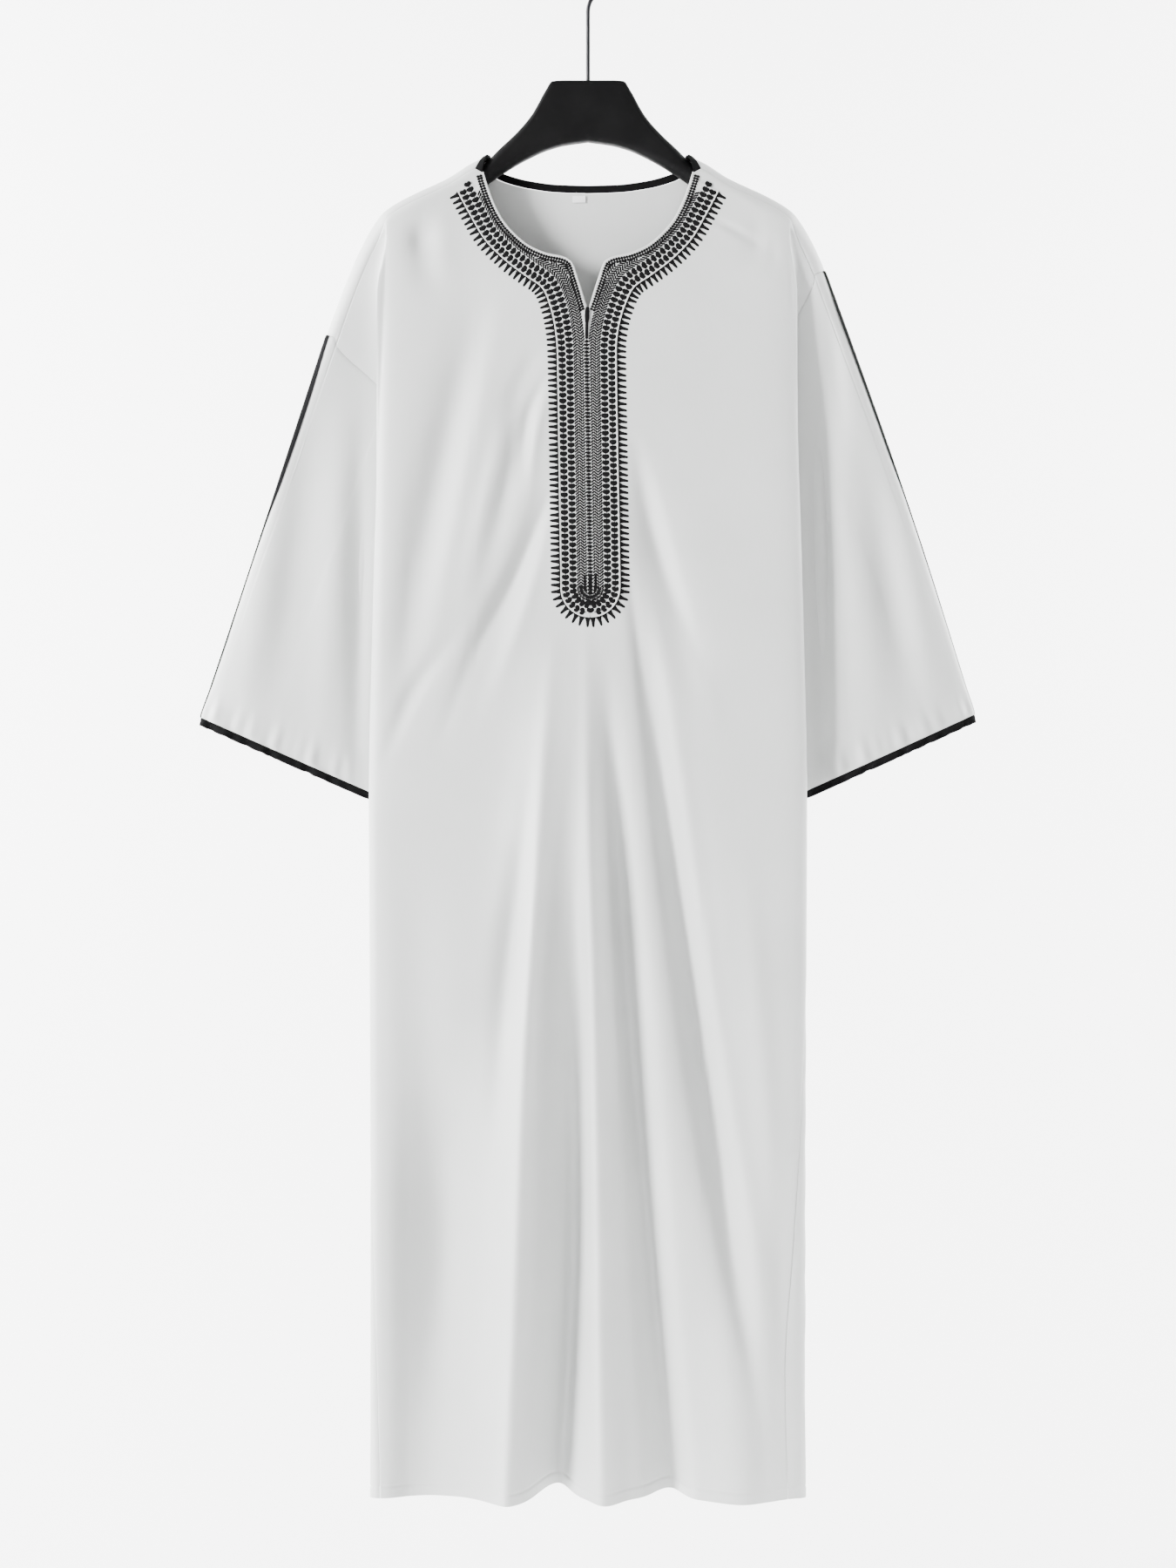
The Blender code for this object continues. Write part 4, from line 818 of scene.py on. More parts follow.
# The front panel: one piece from the shoulder seams to the hem, scooped at the neck and slit below
# it. It hangs straight from the hanger, drawn a little by the weight of the embroidery, and falls
# into long folds below the slit.
NECKLINE_COLUMNS = ("x", "drop")
NECKLINE = (
    (0.0, 357.0),
    (3.0, 347.0),
    (12.0, 318.0),
    (16.5, 305.5),
    (24.0, 301.0),
    (40.0, 297.5),
    (56.0, 290.5),
    (71.0, 278.5),
    (83.0, 264.5),
    (92.0, 248.0),
    (99.0, 230.0),
    (104.0, 214.0),
)
NECK_STATIONS = (0.0, 3.0, 8.0, 12.0, 16.5, 27.0, 56.0, 83.0, 92.0, 98.0, 103.0)
FRONT_FALL_ROWS = 80
SEAM_SUNK = 0.45


def front_half(side):
    """Half of the front panel, its rows from the neckline and shoulder seam down to the hem."""
    station = np.concatenate([spread(NECK_STATIONS, COLUMN_SPACING), side.shoulder])
    neck = table(NECKLINE, NECKLINE_COLUMNS)
    _, seam = roll_at(station)
    seam_reach = seam + SEAM / 2
    neck_reach = reach_of_drop(station, smooth(station, neck["x"], neck["drop"]))
    top = np.where(station < neck["x"][-1], np.maximum(neck_reach, seam_reach), seam_reach)
    down = np.linspace(0, 1, FRONT_FALL_ROWS)[:, None] ** 1.35
    reach = -(top + (fall_length(station) - top) * down)
    return np.concatenate([fall(station, side, "front", reach), lower_part(station, side, "front")])


front_grid = both_halves(front_half(left), front_half(right))
front_normals = grid_normals(front_grid)


def part_at_seams():
    """Draws the two panels apart along their cut edges, and gives a seam's two edges the same slant."""
    for grid in (front_grid, back_grid):
        for column, inner in ((0, 1), (-1, -2)):
            away = grid[:, inner] - grid[:, column]
            grid[:, column] += away / np.linalg.norm(away, axis=1, keepdims=True) * SEAM / 2
    lower = slice(-LOWER_ROWS - 1, None)
    for column in (0, -1):
        shared = front_normals[lower, column] + back_normals[lower, column]
        shared /= np.linalg.norm(shared, axis=1, keepdims=True)
        front_normals[lower, column] = back_normals[lower, column] = shared
    for columns in (slice(0, len(left.shoulder)), slice(-len(right.shoulder), None)):
        shared = front_normals[0, columns] + back_normals[0, columns]
        shared /= np.linalg.norm(shared, axis=1, keepdims=True)
        front_normals[0, columns] = back_normals[0, columns] = shared


part_at_seams()
for grid, normals in ((front_grid, front_normals), (back_grid, back_normals)):
    hem_turned(grid, normals)
    for border in ((slice(None), 0), (slice(None), -1)):
        grid[border] -= normals[border] * SEAM_SUNK
for columns in (slice(0, len(left.shoulder)), slice(-len(right.shoulder), None)):
    front_grid[0, columns] -= front_normals[0, columns] * SEAM_SUNK
    back_grid[0, columns] -= back_normals[0, columns] * SEAM_SUNK
back = cloth("back_of_robe", back_grid, back_normals, white_twill, outward=-1.0)
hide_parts("back_panel")
front = cloth("front_of_robe", front_grid, front_normals, white_twill)
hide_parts("front_panel")


# The sleeves: wide straight tubes of the same twill, set to dropped armholes, each folded flat along
# its top and open at the end. They hang from the shoulders' ends and just clear the sides.
CUFF_HALF_DEPTH = 14.0
CUFF_BEHIND = 4.0
SLEEVE_CLEAR = 0.7
SLEEVE_OUTWARD = 0.25
BELLY_SHARE = 0.12
CREASE_TO_CUFF, CREASE_TO_SEAM = 40.0, 25.0
PUCKER_MIDDLE, PUCKER_END = 6.0, 3.0
SEAM_SUNK_HALF = 1.5
SLEEVE_ROWS = 150
FOLD_ROW = SEAM_STEPS
LEFT_SLEEVE_CREASES = (
    (-2.6, 7.0, -242.0, 262.0, -249.0, 285.0, -256.0, 312.0, 0.0),
    (-2.2, 6.0, -232.0, 270.0, -238.0, 292.0, -244.0, 316.0, 0.0),
    (-5.0, 20.0, -258.0, 400.0, -282.0, 560.0, -304.0, 740.0, 0.0),
    (4.0, 16.0, -232.0, 430.0, -246.0, 600.0, -258.0, 780.0, 0.2),
    (-6.0, 11.0, -222.0, 440.0, -223.0, 640.0, -224.0, 810.0, 0.6),
    (3.5, 18.0, -290.0, 520.0, -316.0, 640.0, -338.0, 760.0, 0.3),
)
RIGHT_SLEEVE_CREASES = (
    (-3.0, 9.0, 228.0, 330.0, 240.0, 400.0, 250.0, 500.0, 0.0),
    (-9.0, 11.0, 224.0, 380.0, 228.0, 590.0, 230.0, 810.0, 0.8),
    (4.0, 18.0, 244.0, 420.0, 264.0, 600.0, 282.0, 780.0, 0.2),
    (-4.5, 18.0, 268.0, 470.0, 294.0, 610.0, 316.0, 760.0, 0.1),
    (3.5, 16.0, 296.0, 520.0, 320.0, 640.0, 344.0, 750.0, 0.2),
)
PUCKER_DEEP = 0.9
PUCKER_FADE = 15.0
PUCKER_COLUMNS = ("length", "share", "phase")
PUCKERS = ((13.0, 0.5, 0.4), (21.0, 0.8, 2.1), (34.0, 0.7, 4.0), (57.0, 0.5, 1.2))


def oval(half_width, half_depth, count=240):
    """A flattened closed loop, half round from its outer end: x runs in, y is the depth."""
    turn = np.linspace(0, math.pi, count)
    x = half_width * (1 - np.sign(np.cos(turn)) * np.abs(np.cos(turn)) ** 0.8)
    return np.stack([x, half_depth * np.abs(np.sin(turn)) ** 0.75], -1)


def cuff_points(side, shares, face):
    """Points on the sleeve's open end at the given shares of the way from its top fold to its underarm."""
    run = np.array([side.cuff_out[0] - side.cuff_in[0], side.cuff_in[1] - side.cuff_out[1]])
    half = oval(np.linalg.norm(run) / 2, CUFF_HALF_DEPTH)
    flat = along(half, shares * lengths_along(half)[-1])
    way = run / np.linalg.norm(run)
    x = (side.cuff_out[0] - flat[:, 0] * way[0]) * side.sign
    drop = side.cuff_out[1] + flat[:, 0] * way[1]
    y = CUFF_BEHIND * ease(shares) + (-1.0 if face == "front" else 1.0) * flat[:, 1]
    return np.stack([x, y, -drop], -1)


def sleeve_grid(side):
    """The sleeve as straight runs from the armhole to the open end, all round the tube.

    The ring starts at the top fold, goes down the front to the underarm and up the back. Its armhole
    is the panels' own edge, moved off along the sleeve by the seam's gap.
    """
    column = 0 if side is left else -1
    top_rows = WRAP_ROWS + BACK_FALL_ROWS
    front_edge, front_n = front_grid[:FRONT_FALL_ROWS, column], front_normals[:FRONT_FALL_ROWS, column]
    back_edge, back_n = back_grid[:top_rows, column], back_normals[:top_rows, column]
    ahead = np.vstack([back_edge[FOLD_ROW:0:-1], front_edge])
    behind = back_edge[-2:FOLD_ROW:-1]
    armhole = np.vstack([ahead, behind])
    panel_n = np.vstack([back_n[FOLD_ROW:0:-1], front_n, back_n[-2:FOLD_ROW:-1]])
    front_share = lengths_along(ahead)
    front_share = front_share / front_share[-1]
    back_line = np.vstack([ahead[-1:], behind, ahead[:1]])
    back_share = 1 - lengths_along(back_line) / lengths_along(back_line)[-1]
    cuff = np.vstack([cuff_points(side, front_share, "front"), cuff_points(side, back_share[1:-1], "back")])
    tangent = np.roll(armhole, -1, axis=0) - np.roll(armhole, 1, axis=0)
    tangent /= np.linalg.norm(tangent, axis=1, keepdims=True)
    run = cuff - armhole
    run /= np.linalg.norm(run, axis=1, keepdims=True)
    away = run - (run * tangent).sum(axis=1, keepdims=True) * tangent
    away += SLEEVE_OUTWARD * np.array([side.sign, 0.0, 0.0])
    away /= np.linalg.norm(away, axis=1, keepdims=True)
    shares = np.linspace(0, 1, SLEEVE_ROWS)[:, None, None]
    ring_n = grid_normals(armhole + (cuff - armhole) * shares, ring=True)[0] * -side.sign
    turn = 1 - (ring_n * panel_n).sum(axis=1, keepdims=True)
    start = armhole + away * (SEAM + SLEEVE_CLEAR * turn)
    top = np.concatenate([front_share, back_share[1:-1]])
    swell = (side.belly * np.exp(-((top / BELLY_SHARE) ** 2)))[:, None] * np.array([side.sign, 0.0, 0.0])
    return start + (cuff - start) * shares + swell * np.sin(math.pi * shares)


def creased(grid, normals, folds):
    """The sleeve with soft folds on both faces and the small puckers that the binding draws in."""
    facing = ease(np.abs(normals[..., 1]) * 2 - 0.7)
    up = lengths_of_columns(grid[::-1])[::-1]
    down = lengths_of_columns(grid)
    ends = ease(up / CREASE_TO_CUFF) * ease(down / CREASE_TO_SEAM)
    total = fold_height(folds, grid[..., 0], -grid[..., 2]) * facing * ends
    ring = lengths_along(np.vstack([grid[-1], grid[-1, :1]]))[:-1]
    ripple = np.zeros(len(ring))
    for row in PUCKERS:
        wave = dict(zip(PUCKER_COLUMNS, row))
        length = ring[-1] / max(1, round(ring[-1] / wave["length"]))
        ripple += wave["share"] * np.sin(ring * 2 * math.pi / length + wave["phase"])
    fade = np.exp(-((up - PUCKER_MIDDLE) / PUCKER_FADE) ** 2) * ease(up / PUCKER_END)
    total += PUCKER_DEEP * ripple * fade
    sunk = SEAM_SUNK * np.exp(-((down / SEAM_SUNK_HALF) ** 2))
    return grid + normals * (total - sunk)[..., None]


sleeves = {}
for side, folds in ((left, LEFT_SLEEVE_CREASES), (right, RIGHT_SLEEVE_CREASES)):
    grid = sleeve_grid(side)
    grid = creased(grid, grid_normals(grid, ring=True) * -side.sign, folds)
    normals = grid_normals(grid, ring=True) * -side.sign
    piece = cloth(f"robe_sleeve_{side.name}", grid, normals, white_twill, ring=True, outward=-side.sign)
    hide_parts(f"sleeve_{side.name}")
    sleeves[side.name] = (grid, normals)


# The black trims: a folded cotton binding on each sleeve's end and round the back of the neck, each
# wrapped over the raw edge and stitched down, and a flat tape sewn along the top fold of each sleeve.
BINDING_WIDTH = 7.5
BINDING_THICK = 2.0
BINDING_START = 0.3
TAPE_THICK = 0.6
TAPE_LIFT = 0.9
TAPE_BEHIND = 6.5
TAPE_STATIONS = 9
NEAR_FOLD = 8
TAPE_COLUMNS = ("share", "left", "right")
TAPE_AHEAD = (
    (0.0, 1.8, 2.6),
    (0.12, 3.0, 4.2),
    (0.38, 2.6, 3.4),
    (0.52, 1.2, 0.6),
    (0.64, 0.9, -1.2),
    (0.8, 2.6, -2.0),
    (0.92, 2.2, -2.0),
    (1.0, 0.8, -2.0),
)


def oblong(wide, thick, sides=16, squareness=0.45):
    """A closed profile round its own middle: a superellipse that is wide one way and thin the other."""
    turn = (np.arange(sides) + 0.5) * 2 * math.pi / sides
    x = wide / 2 * np.sign(np.cos(turn)) * np.abs(np.cos(turn)) ** squareness
    y = thick / 2 * np.sign(np.sin(turn)) * np.abs(np.sin(turn)) ** (1.5 * squareness)
    return np.stack([x, y], -1)


def unit(vectors):
    """The vectors drawn to a length of one."""
    return vectors / np.maximum(np.linalg.norm(vectors, axis=-1, keepdims=True), 1e-9)


def carried(name, path, across, out, profile, material, closed=False):
    """A closed profile carried along a path: its first axis lies across the path, its second points out."""
    grid = path[:, None] + across[:, None] * profile[None, :, :1] + out[:, None] * profile[None, :, 1:]
    rows, columns = grid.shape[:2]
    run = lengths_along(np.vstack([path, path[:1]]) if closed else path)
    round_it = lengths_along(np.vstack([profile, profile[:1]]))
    i, j = np.meshgrid(np.arange(rows if closed else rows - 1), np.arange(columns), indexing="ij")
    a, b, k = i % rows, (i + 1) % rows, (j + 1) % columns
    faces = np.stack([a * columns + j, b * columns + j, b * columns + k, a * columns + k], -1).reshape(-1, 4)
    uv = np.stack([run[np.stack([i, i + 1, i + 1, i], -1)], round_it[np.stack([j, j, j + 1, j + 1], -1)]], -1)
    uv = uv.reshape(-1, 4, 2)
    if not closed:
        k = np.arange(columns // 2 - 1)
        start = np.stack([k, k + 1, columns - 2 - k, columns - 1 - k], -1)
        finish = (start + (rows - 1) * columns)[:, ::-1]
        faces = np.concatenate([faces, start, finish])
        uv = np.concatenate([uv, np.zeros((2 * len(start), 4, 2))])
    corners = grid.reshape(-1, 3)[faces]
    volume = (corners[:, 0] * np.cross(corners[:, 1] - corners[:, 0], corners[:, 2] - corners[:, 0])).sum()
    if volume < 0:
        faces, uv = faces[:, ::-1], uv[:, ::-1]
    return as_mesh(name, grid.reshape(-1, 3), faces, material, uv.reshape(-1, 2))


def edge_path(edge, normals, outward, beyond):
    """A line that follows a cut edge a little beyond it, flat with the panel, and the way out of the cut."""
    into = unit(np.cross(normals, np.gradient(edge, axis=0)) * outward)
    return edge + into * beyond, into


def sleeve_tape(side, grid, normals):
    """The tape's own grid: points of the sleeve at set distances round its top fold, moved out."""
    rows = table(TAPE_AHEAD, TAPE_COLUMNS)
    ahead = smooth(np.linspace(0, 1, len(grid)), rows["share"], rows[side.name])
    ring = np.concatenate([grid[:, -NEAR_FOLD:], grid[:, :NEAR_FOLD]], axis=1)
    turned = np.concatenate([normals[:, -NEAR_FOLD:], normals[:, :NEAR_FOLD]], axis=1)
    points, out = [], []
    for line, direction, reach in zip(ring, turned, ahead):
        run = lengths_along(line)
        at = run[NEAR_FOLD] + np.linspace(-TAPE_BEHIND, reach, TAPE_STATIONS)
        points.append(along(line, at))
        out.append(np.stack([np.interp(at, run, direction[:, k]) for k in range(3)], -1))
    out = unit(np.array(out))
    return np.array(points) + out * (TAPE_LIFT + TAPE_THICK / 2), out


black_cotton = satin_material(
    "black_cotton_binding",
    (0.0022, 0.0022, 0.0024),
    (0.0045, 0.0045, 0.0048),
    0.8,
    0.00003,
    1300.0,
    shine=0.06,
)
for side in (left, right):
    grid, normals = sleeves[side.name]
    away = unit(grid[-1] - grid[-2])
    path = grid[-1] + away * (BINDING_START + BINDING_WIDTH / 2)
    profile = oblong(BINDING_WIDTH, BINDING_THICK)
    band = carried(f"cuff_band_{side.name}", path, away, normals[-1], profile, black_cotton, closed=True)
    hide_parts(f"cuff_binding_{side.name}")
    tape_points, tape_out = sleeve_tape(side, grid, normals)
    tape_name = f"fold_tape_{side.name}"
    tape = cloth(tape_name, tape_points, tape_out, black_cotton, TAPE_THICK, outward=-side.sign)
    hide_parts(f"sleeve_tape_{side.name}")

neck_count = len(spread(BACK_NECK_STATIONS, COLUMN_SPACING))
middle = neck_count + len(left.shoulder) - 1
neck = slice(middle - neck_count, middle + neck_count + 1)
neck_out = back_normals[0, neck]
path, into = edge_path(back_grid[0, neck], neck_out, -1.0, BINDING_START + BINDING_WIDTH / 2)
neck_band = carried("neck_band", path, into, neck_out, oblong(BINDING_WIDTH, BINDING_THICK), black_cotton)
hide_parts("neck_binding")


# The piping: a narrow white cord folded in a strip of the robe's own twill, sewn along the front
# neckline and down both edges of the slit, where it covers the raw edge.
PIPING_WIDTH = 1.5
PIPING_THICK = 1.6
PIPING_START = 0.1

neck_count = len(spread(NECK_STATIONS, COLUMN_SPACING))
middle = neck_count + len(left.shoulder) - 1
neck = slice(middle - neck_count + 1, middle + neck_count)
piping_out = front_normals[0, neck]
path, into = edge_path(front_grid[0, neck], piping_out, 1.0, PIPING_START + PIPING_WIDTH / 2)
neckline = np.stack([path[:, 0], -path[:, 2]], -1)
piping = carried(
    "neckline_piping", path, into, piping_out, oblong(PIPING_WIDTH, PIPING_THICK, 12, 1.0), white_twill
)
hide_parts("neck_piping")


# The size label: a small bare tab of white ribbon, folded at its foot and caught in the seam of the
# neck binding. It hangs flat against the inside of the back.
LABEL_WIDTH = 12.6
LABEL_HEIGHT = 6.8
LABEL_X = -8.9
LABEL_TOP = 235.5
LABEL_DEPTH = 13.5
LABEL_BOW = 0.25
LABEL_THICK = 0.45

share_x, share_z = np.meshgrid(np.linspace(-0.5, 0.5, 15), np.linspace(0, 1, 9))
label_y = LABEL_DEPTH - LABEL_BOW * np.cos(math.pi * share_x) * share_z
label_grid = np.stack([LABEL_X + LABEL_WIDTH * share_x, label_y, -LABEL_TOP - LABEL_HEIGHT * share_z], -1)
white_ribbon = satin_material(
    "white_label_ribbon", (0.78, 0.785, 0.79), (0.84, 0.845, 0.85), 0.38, 0.00001, 3200.0, slope=0.0
)
label = cloth("bare_label", label_grid, grid_normals(label_grid), white_ribbon, LABEL_THICK)
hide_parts("size_label")


# The embroidery: a band of black and white satin stitch, worked on the twill round the neck and down
# both sides of the slit. A row of pointed teeth stands outside a raised white line, then come two
# rows of hearts, a braid that leans in chevrons, and a chain of beads down the middle.
BAND_COLUMNS = ("x", "drop")
BAND_OUTER = (
    (126.5, 236.0),
    (114.0, 259.5),
    (100.0, 283.0),
    (81.0, 302.5),
    (61.0, 318.0),
    (44.5, 330.0),
    (36.0, 348.0),
    (31.0, 367.0),
    (28.5, 390.0),
    (28.3, 484.0),
    (28.3, 577.0),
    (28.3, 616.0),
)
PLACKET_HALF = 28.3
PLACKET_FOOT = 622.0
SLIT_FOOT = 381.0
SLIT_POINT = 358.0
SLIT_FLARE = 0.255
LEAN_COLUMNS = ("drop", "x")
LEAN = ((387.0, -1.3), (613.0, 2.3))
CHART_STEP = 1.0
CHART_HALF = 150.0
CHART_TOP, CHART_FOOT = 205.0, 680.0
CHART_SPARE = 200.0
GROUND_THICK = 0.5
GROUND_LIFT = 0.75
WORK_LIFT = 1.15
CLOTH_LIFT = 0.36
LANE_ANCHOR = 500.0

SHAPE_COLUMNS = ("along", "half")
TOOTH = ((0.0, 2.55), (1.3, 2.4), (2.6, 2.0), (3.8, 1.65), (5.6, 1.45), (8.0, 1.2), (9.0, 0.8), (9.4, 0.1))
TOOTH_PITCH = 5.7
TOOTH_HEIGHT = 0.5
TOOTH_DROOP = 8.0
LOBE = ((-0.4, 0.3), (0.5, 1.25), (1.6, 1.95), (2.8, 2.25), (4.0, 1.85), (4.8, 1.1), (5.1, 0.1))
LOBE_LEAN = 32.0
LOBE_HEIGHT = 0.5
HEART_PITCH = 5.7
HEART_ROWS = (4.3, 11.6)
STROKE = ((-3.4, 0.1), (-3.1, 0.62), (-1.5, 0.8), (0.0, 0.84), (1.5, 0.8), (3.1, 0.62), (3.4, 0.1))
STROKE_HEIGHT = 0.4
BRAID_PITCH = 2.75
BRAID_COLUMNS = ("inward", "lean", "from_drop", "to_drop")
BRAID = (
    (17.3, 45.0, 236.0, 640.0),
    (21.2, -45.0, 236.0, 634.0),
    (25.0, 45.0, 262.0, 626.0),
    (28.9, -45.0, 300.0, 376.0),
    (32.8, 45.0, 300.0, 372.0),
    (36.7, -45.0, 300.0, 364.0),
    (40.6, 45.0, 300.0, 352.0),
)
BEAD = ((-1.6, 0.1), (-1.3, 1.0), (-0.65, 1.6), (0.0, 1.95), (0.7, 1.8), (1.4, 1.2), (1.75, 0.1))
BEAD_PITCH = 3.5
BEAD_HEIGHT = 0.7
DOT_PITCH = 2.6
DOT_LINES = (2.2, 5.0)
NECK_CLEAR = 6.6
HEART_CLEAR = NECK_CLEAR + 2
TOOTH_OUT = -0.8
EDGE_OUT = -0.9
TOOTH_JITTER = 3.0
DROOP_FROM, DROOP_OVER = 330.0, 60.0
DROOP_PAST, DROOP_FADE = 6.0, 20.0
LEAN_FROM, LEAN_OVER = 320.0, 60.0
THREAD_ACROSS = 0.35
EDGE_PITCH = 1.9
EDGE_SIZE = (0.3, 1.2)
FINE_HEIGHT = 0.3
STEM_SIZE, STEM_SHIFT, STEM_HEIGHT = (0.4, 0.5), (1.0, 0.0), 0.25
OUTLINE_SIZE = (0.75, 0.55)
OUTLINE_LEAN = 38.0
BRAID_SIZES = {"black": (0.8, 1.2), "white": (0.3, 0.28)}
AXIS_CLEAR, FOOT_CLEAR, SLIT_CLEAR = 2.8, 0.4, 3.0
DOT_SIZE, DOT_HEIGHT = (0.8, 0.85), 0.4
FOOT_SIZE, FOOT_HEIGHT = (3.6, 10.5), 0.15
POINT_SIZE, POINT_HEIGHT, POINT_LIFT = (2.3, 2.8), 1.0, 2.3
WHITE_DOT_SIZE, WHITE_DOT_HEIGHT, WHITE_DOT_X = (0.6, 0.32), 0.6, 2.5


def chart_of_front():
    """The front's depth and its normals, read off on an even net of x and drop."""
    x = np.arange(-CHART_HALF, CHART_HALF + CHART_STEP, CHART_STEP)
    drop = np.arange(CHART_TOP, CHART_FOOT + CHART_STEP, CHART_STEP)
    rows = []
    for points, out in zip(front_grid, front_normals):
        if points[0, 2] < -CHART_FOOT - CHART_SPARE:
            break
        order = np.argsort(points[:, 0])
        values = np.column_stack([points[order], out[order]])
        rows.append(np.stack([np.interp(x, values[:, 0], values[:, k]) for k in range(1, 6)], -1))
    rows = np.array(rows)
    chart = []
    for column in range(len(x)):
        at = -rows[:, column, 1]
        chart.append(np.stack([np.interp(drop, at, rows[:, column, k]) for k in (0, 2, 3, 4)], -1))
    return np.array(chart)


front_chart = chart_of_front()


def lay(x, drop, lift):
    """Points on the front at x and drop, moved out along its normal by the lift."""
    u = np.clip((x + CHART_HALF) / CHART_STEP, 0, front_chart.shape[0] - 1.001)
    v = np.clip((drop - CHART_TOP) / CHART_STEP, 0, front_chart.shape[1] - 1.001)
    i, j = u.astype(int), v.astype(int)
    a, b = (u - i)[..., None], (v - j)[..., None]
    near = front_chart[i, j] * (1 - a) + front_chart[i + 1, j] * a
    far = front_chart[i, j + 1] * (1 - a) + front_chart[i + 1, j + 1] * a
    read = near * (1 - b) + far * b
    place = np.stack([x, read[..., 0], -drop], -1)
    return place + unit(read[..., 1:]) * np.asarray(lift)[..., None]


def axis_at(drop):
    """The middle of the band: it leans a little, as the placket does."""
    lean = table(LEAN, LEAN_COLUMNS)
    return np.interp(drop, lean["drop"], lean["x"])


def outer_line():
    """The white line of one half, evenly spaced, from the shoulder seam to the middle of the foot."""
    turn = np.linspace(0, math.pi / 2, 20)[1:]
    foot = np.stack([PLACKET_HALF * np.cos(turn), PLACKET_FOOT + PLACKET_HALF * np.sin(turn)], -1)
    band = table(BAND_OUTER, BAND_COLUMNS)
    upper = rounded(np.stack([band["x"], band["drop"]], -1))
    line = np.vstack([upper, [[PLACKET_HALF, PLACKET_FOOT]], foot])
    return along(line, np.linspace(0, lengths_along(line)[-1], 1200))


band_line = outer_line()
band_run = lengths_along(band_line)
band_way = unit(np.gradient(band_line, axis=0))
half_neckline = np.stack([np.abs(neckline[:, 0]), neckline[:, 1]], -1)


def on_band(run, inward):
    """The place on one half at a run along the white line and inward from it, and the line's way there."""
    place = along(band_line, run)
    way = unit(np.stack([np.interp(run, band_run, band_way[:, k]) for k in range(2)], -1))
    inside = np.stack([-way[..., 1], way[..., 0]], -1)
    return place + inside * np.asarray(inward)[..., None], way


def lane(inward, pitch, phase=0.0):
    """Even places along a line beside the white line, in step with the others on the straight placket."""
    path, way = on_band(band_run, np.full(len(band_run), inward))
    run = lengths_along(path)
    anchor = run[np.argmin(np.abs(band_line[:, 1] - LANE_ANCHOR))]
    at = np.arange((anchor + phase * pitch) % pitch, run[-1] - pitch / 4, pitch)
    return along(path, at), unit(np.stack([np.interp(at, run, way[:, k]) for k in range(2)], -1))


def from_neckline(place):
    """How far places on one half lie from the neckline."""
    away = place[:, None] - half_neckline[None]
    return np.linalg.norm(away, axis=2).min(axis=1)


def turned(way, degrees):
    """Directions turned by an angle, towards the outside of the band where it is above 0."""
    angle = np.radians(degrees)
    x = way[..., 0] * np.cos(angle) + way[..., 1] * np.sin(angle)
    return np.stack([x, -way[..., 0] * np.sin(angle) + way[..., 1] * np.cos(angle)], -1)


def axis_share(drop):
    """The band's lean comes in below the neck, where both halves run side by side."""
    return ease((drop - LEAN_FROM) / LEAN_OVER)


class Stitches:
    """Padded shapes of one thread, gathered as plain arrays and made into one mesh at the end."""

    def __init__(self):
        self.points = []
        self.faces = []
        self.places = []
        self.count = 0

    def add(self, rows, height, place, way, sign, columns=7, lift=WORK_LIFT):
        """Lays a shape at each place, its length along the way given, domed across and at its ends."""
        shape = table(rows, SHAPE_COLUMNS)
        length, half = shape["along"], shape["half"]
        across = np.sin(np.linspace(-math.pi / 2, math.pi / 2, columns))
        u = half[:, None] * across
        v = length[:, None] * np.ones(columns)
        dome = np.sqrt(np.maximum(1 - across**2, 0)) * np.minimum(1, half / half.max() * 1.25)[:, None]
        side = np.stack([way[:, 1], -way[:, 0]], -1)
        flat = place[:, None, None] + way[:, None, None] * v[..., None] + side[:, None, None] * u[..., None]
        x = flat[..., 0] * sign + axis_at(flat[..., 1]) * axis_share(flat[..., 1])
        laid = lay(x, flat[..., 1], np.broadcast_to(lift + height * dome, x.shape))
        quads = cells(len(rows), columns)
        quads = quads if sign > 0 else quads[:, ::-1]
        each = len(rows) * columns
        starts = self.count + np.arange(len(place)) * each
        self.points.append(laid.reshape(-1, 3))
        self.faces.append((starts[:, None, None] + quads).reshape(-1, 4))
        corner = np.stack([v.ravel(), u.ravel()], -1)[quads]
        self.places.append(np.tile(corner.reshape(-1, 2), (len(place), 1)))
        self.count += each * len(place)

    def made(self, name, material):
        """All the shapes of the thread as one mesh."""
        points, faces, places = (np.concatenate(part) for part in (self.points, self.faces, self.places))
        return as_mesh(name, points, faces, material, places)


def thread_material(name, dark, light, rough, sheen, shine):
    """Embroidery floss: fine threads laid across each shape as ripples, with a soft shine and a mottle."""
    material, shader, nodes, links = new_material(name)
    shader.inputs["Sheen Weight"].default_value = sheen
    shader.inputs["Sheen Roughness"].default_value = 0.35
    shader.inputs["Specular IOR Level"].default_value = shine
    shader.inputs["Anisotropic"].default_value = 0.4
    place = nodes.new("ShaderNodeUVMap")
    place.uv_map = "cloth"
    split = nodes.new("ShaderNodeSeparateXYZ")
    links.new(place.outputs["UV"], split.inputs["Vector"])
    turns = math_node(nodes, links, "MULTIPLY", split.outputs["X"], 2 * math.pi / (THREAD_ACROSS * MM))
    ripple = math_node(nodes, links, "SINE", turns)
    object_place = nodes.new("ShaderNodeTexCoord").outputs["Object"]
    mottle = noise(nodes, links, object_place, 420.0, 2.0)
    colour = two_tones(nodes, links, mottle, 0.3, dark, 0.75, light)
    dress(shader, nodes, links, colour, mottle, (rough, rough + 0.15), ripple, 0.4, 0.00008)
    return material


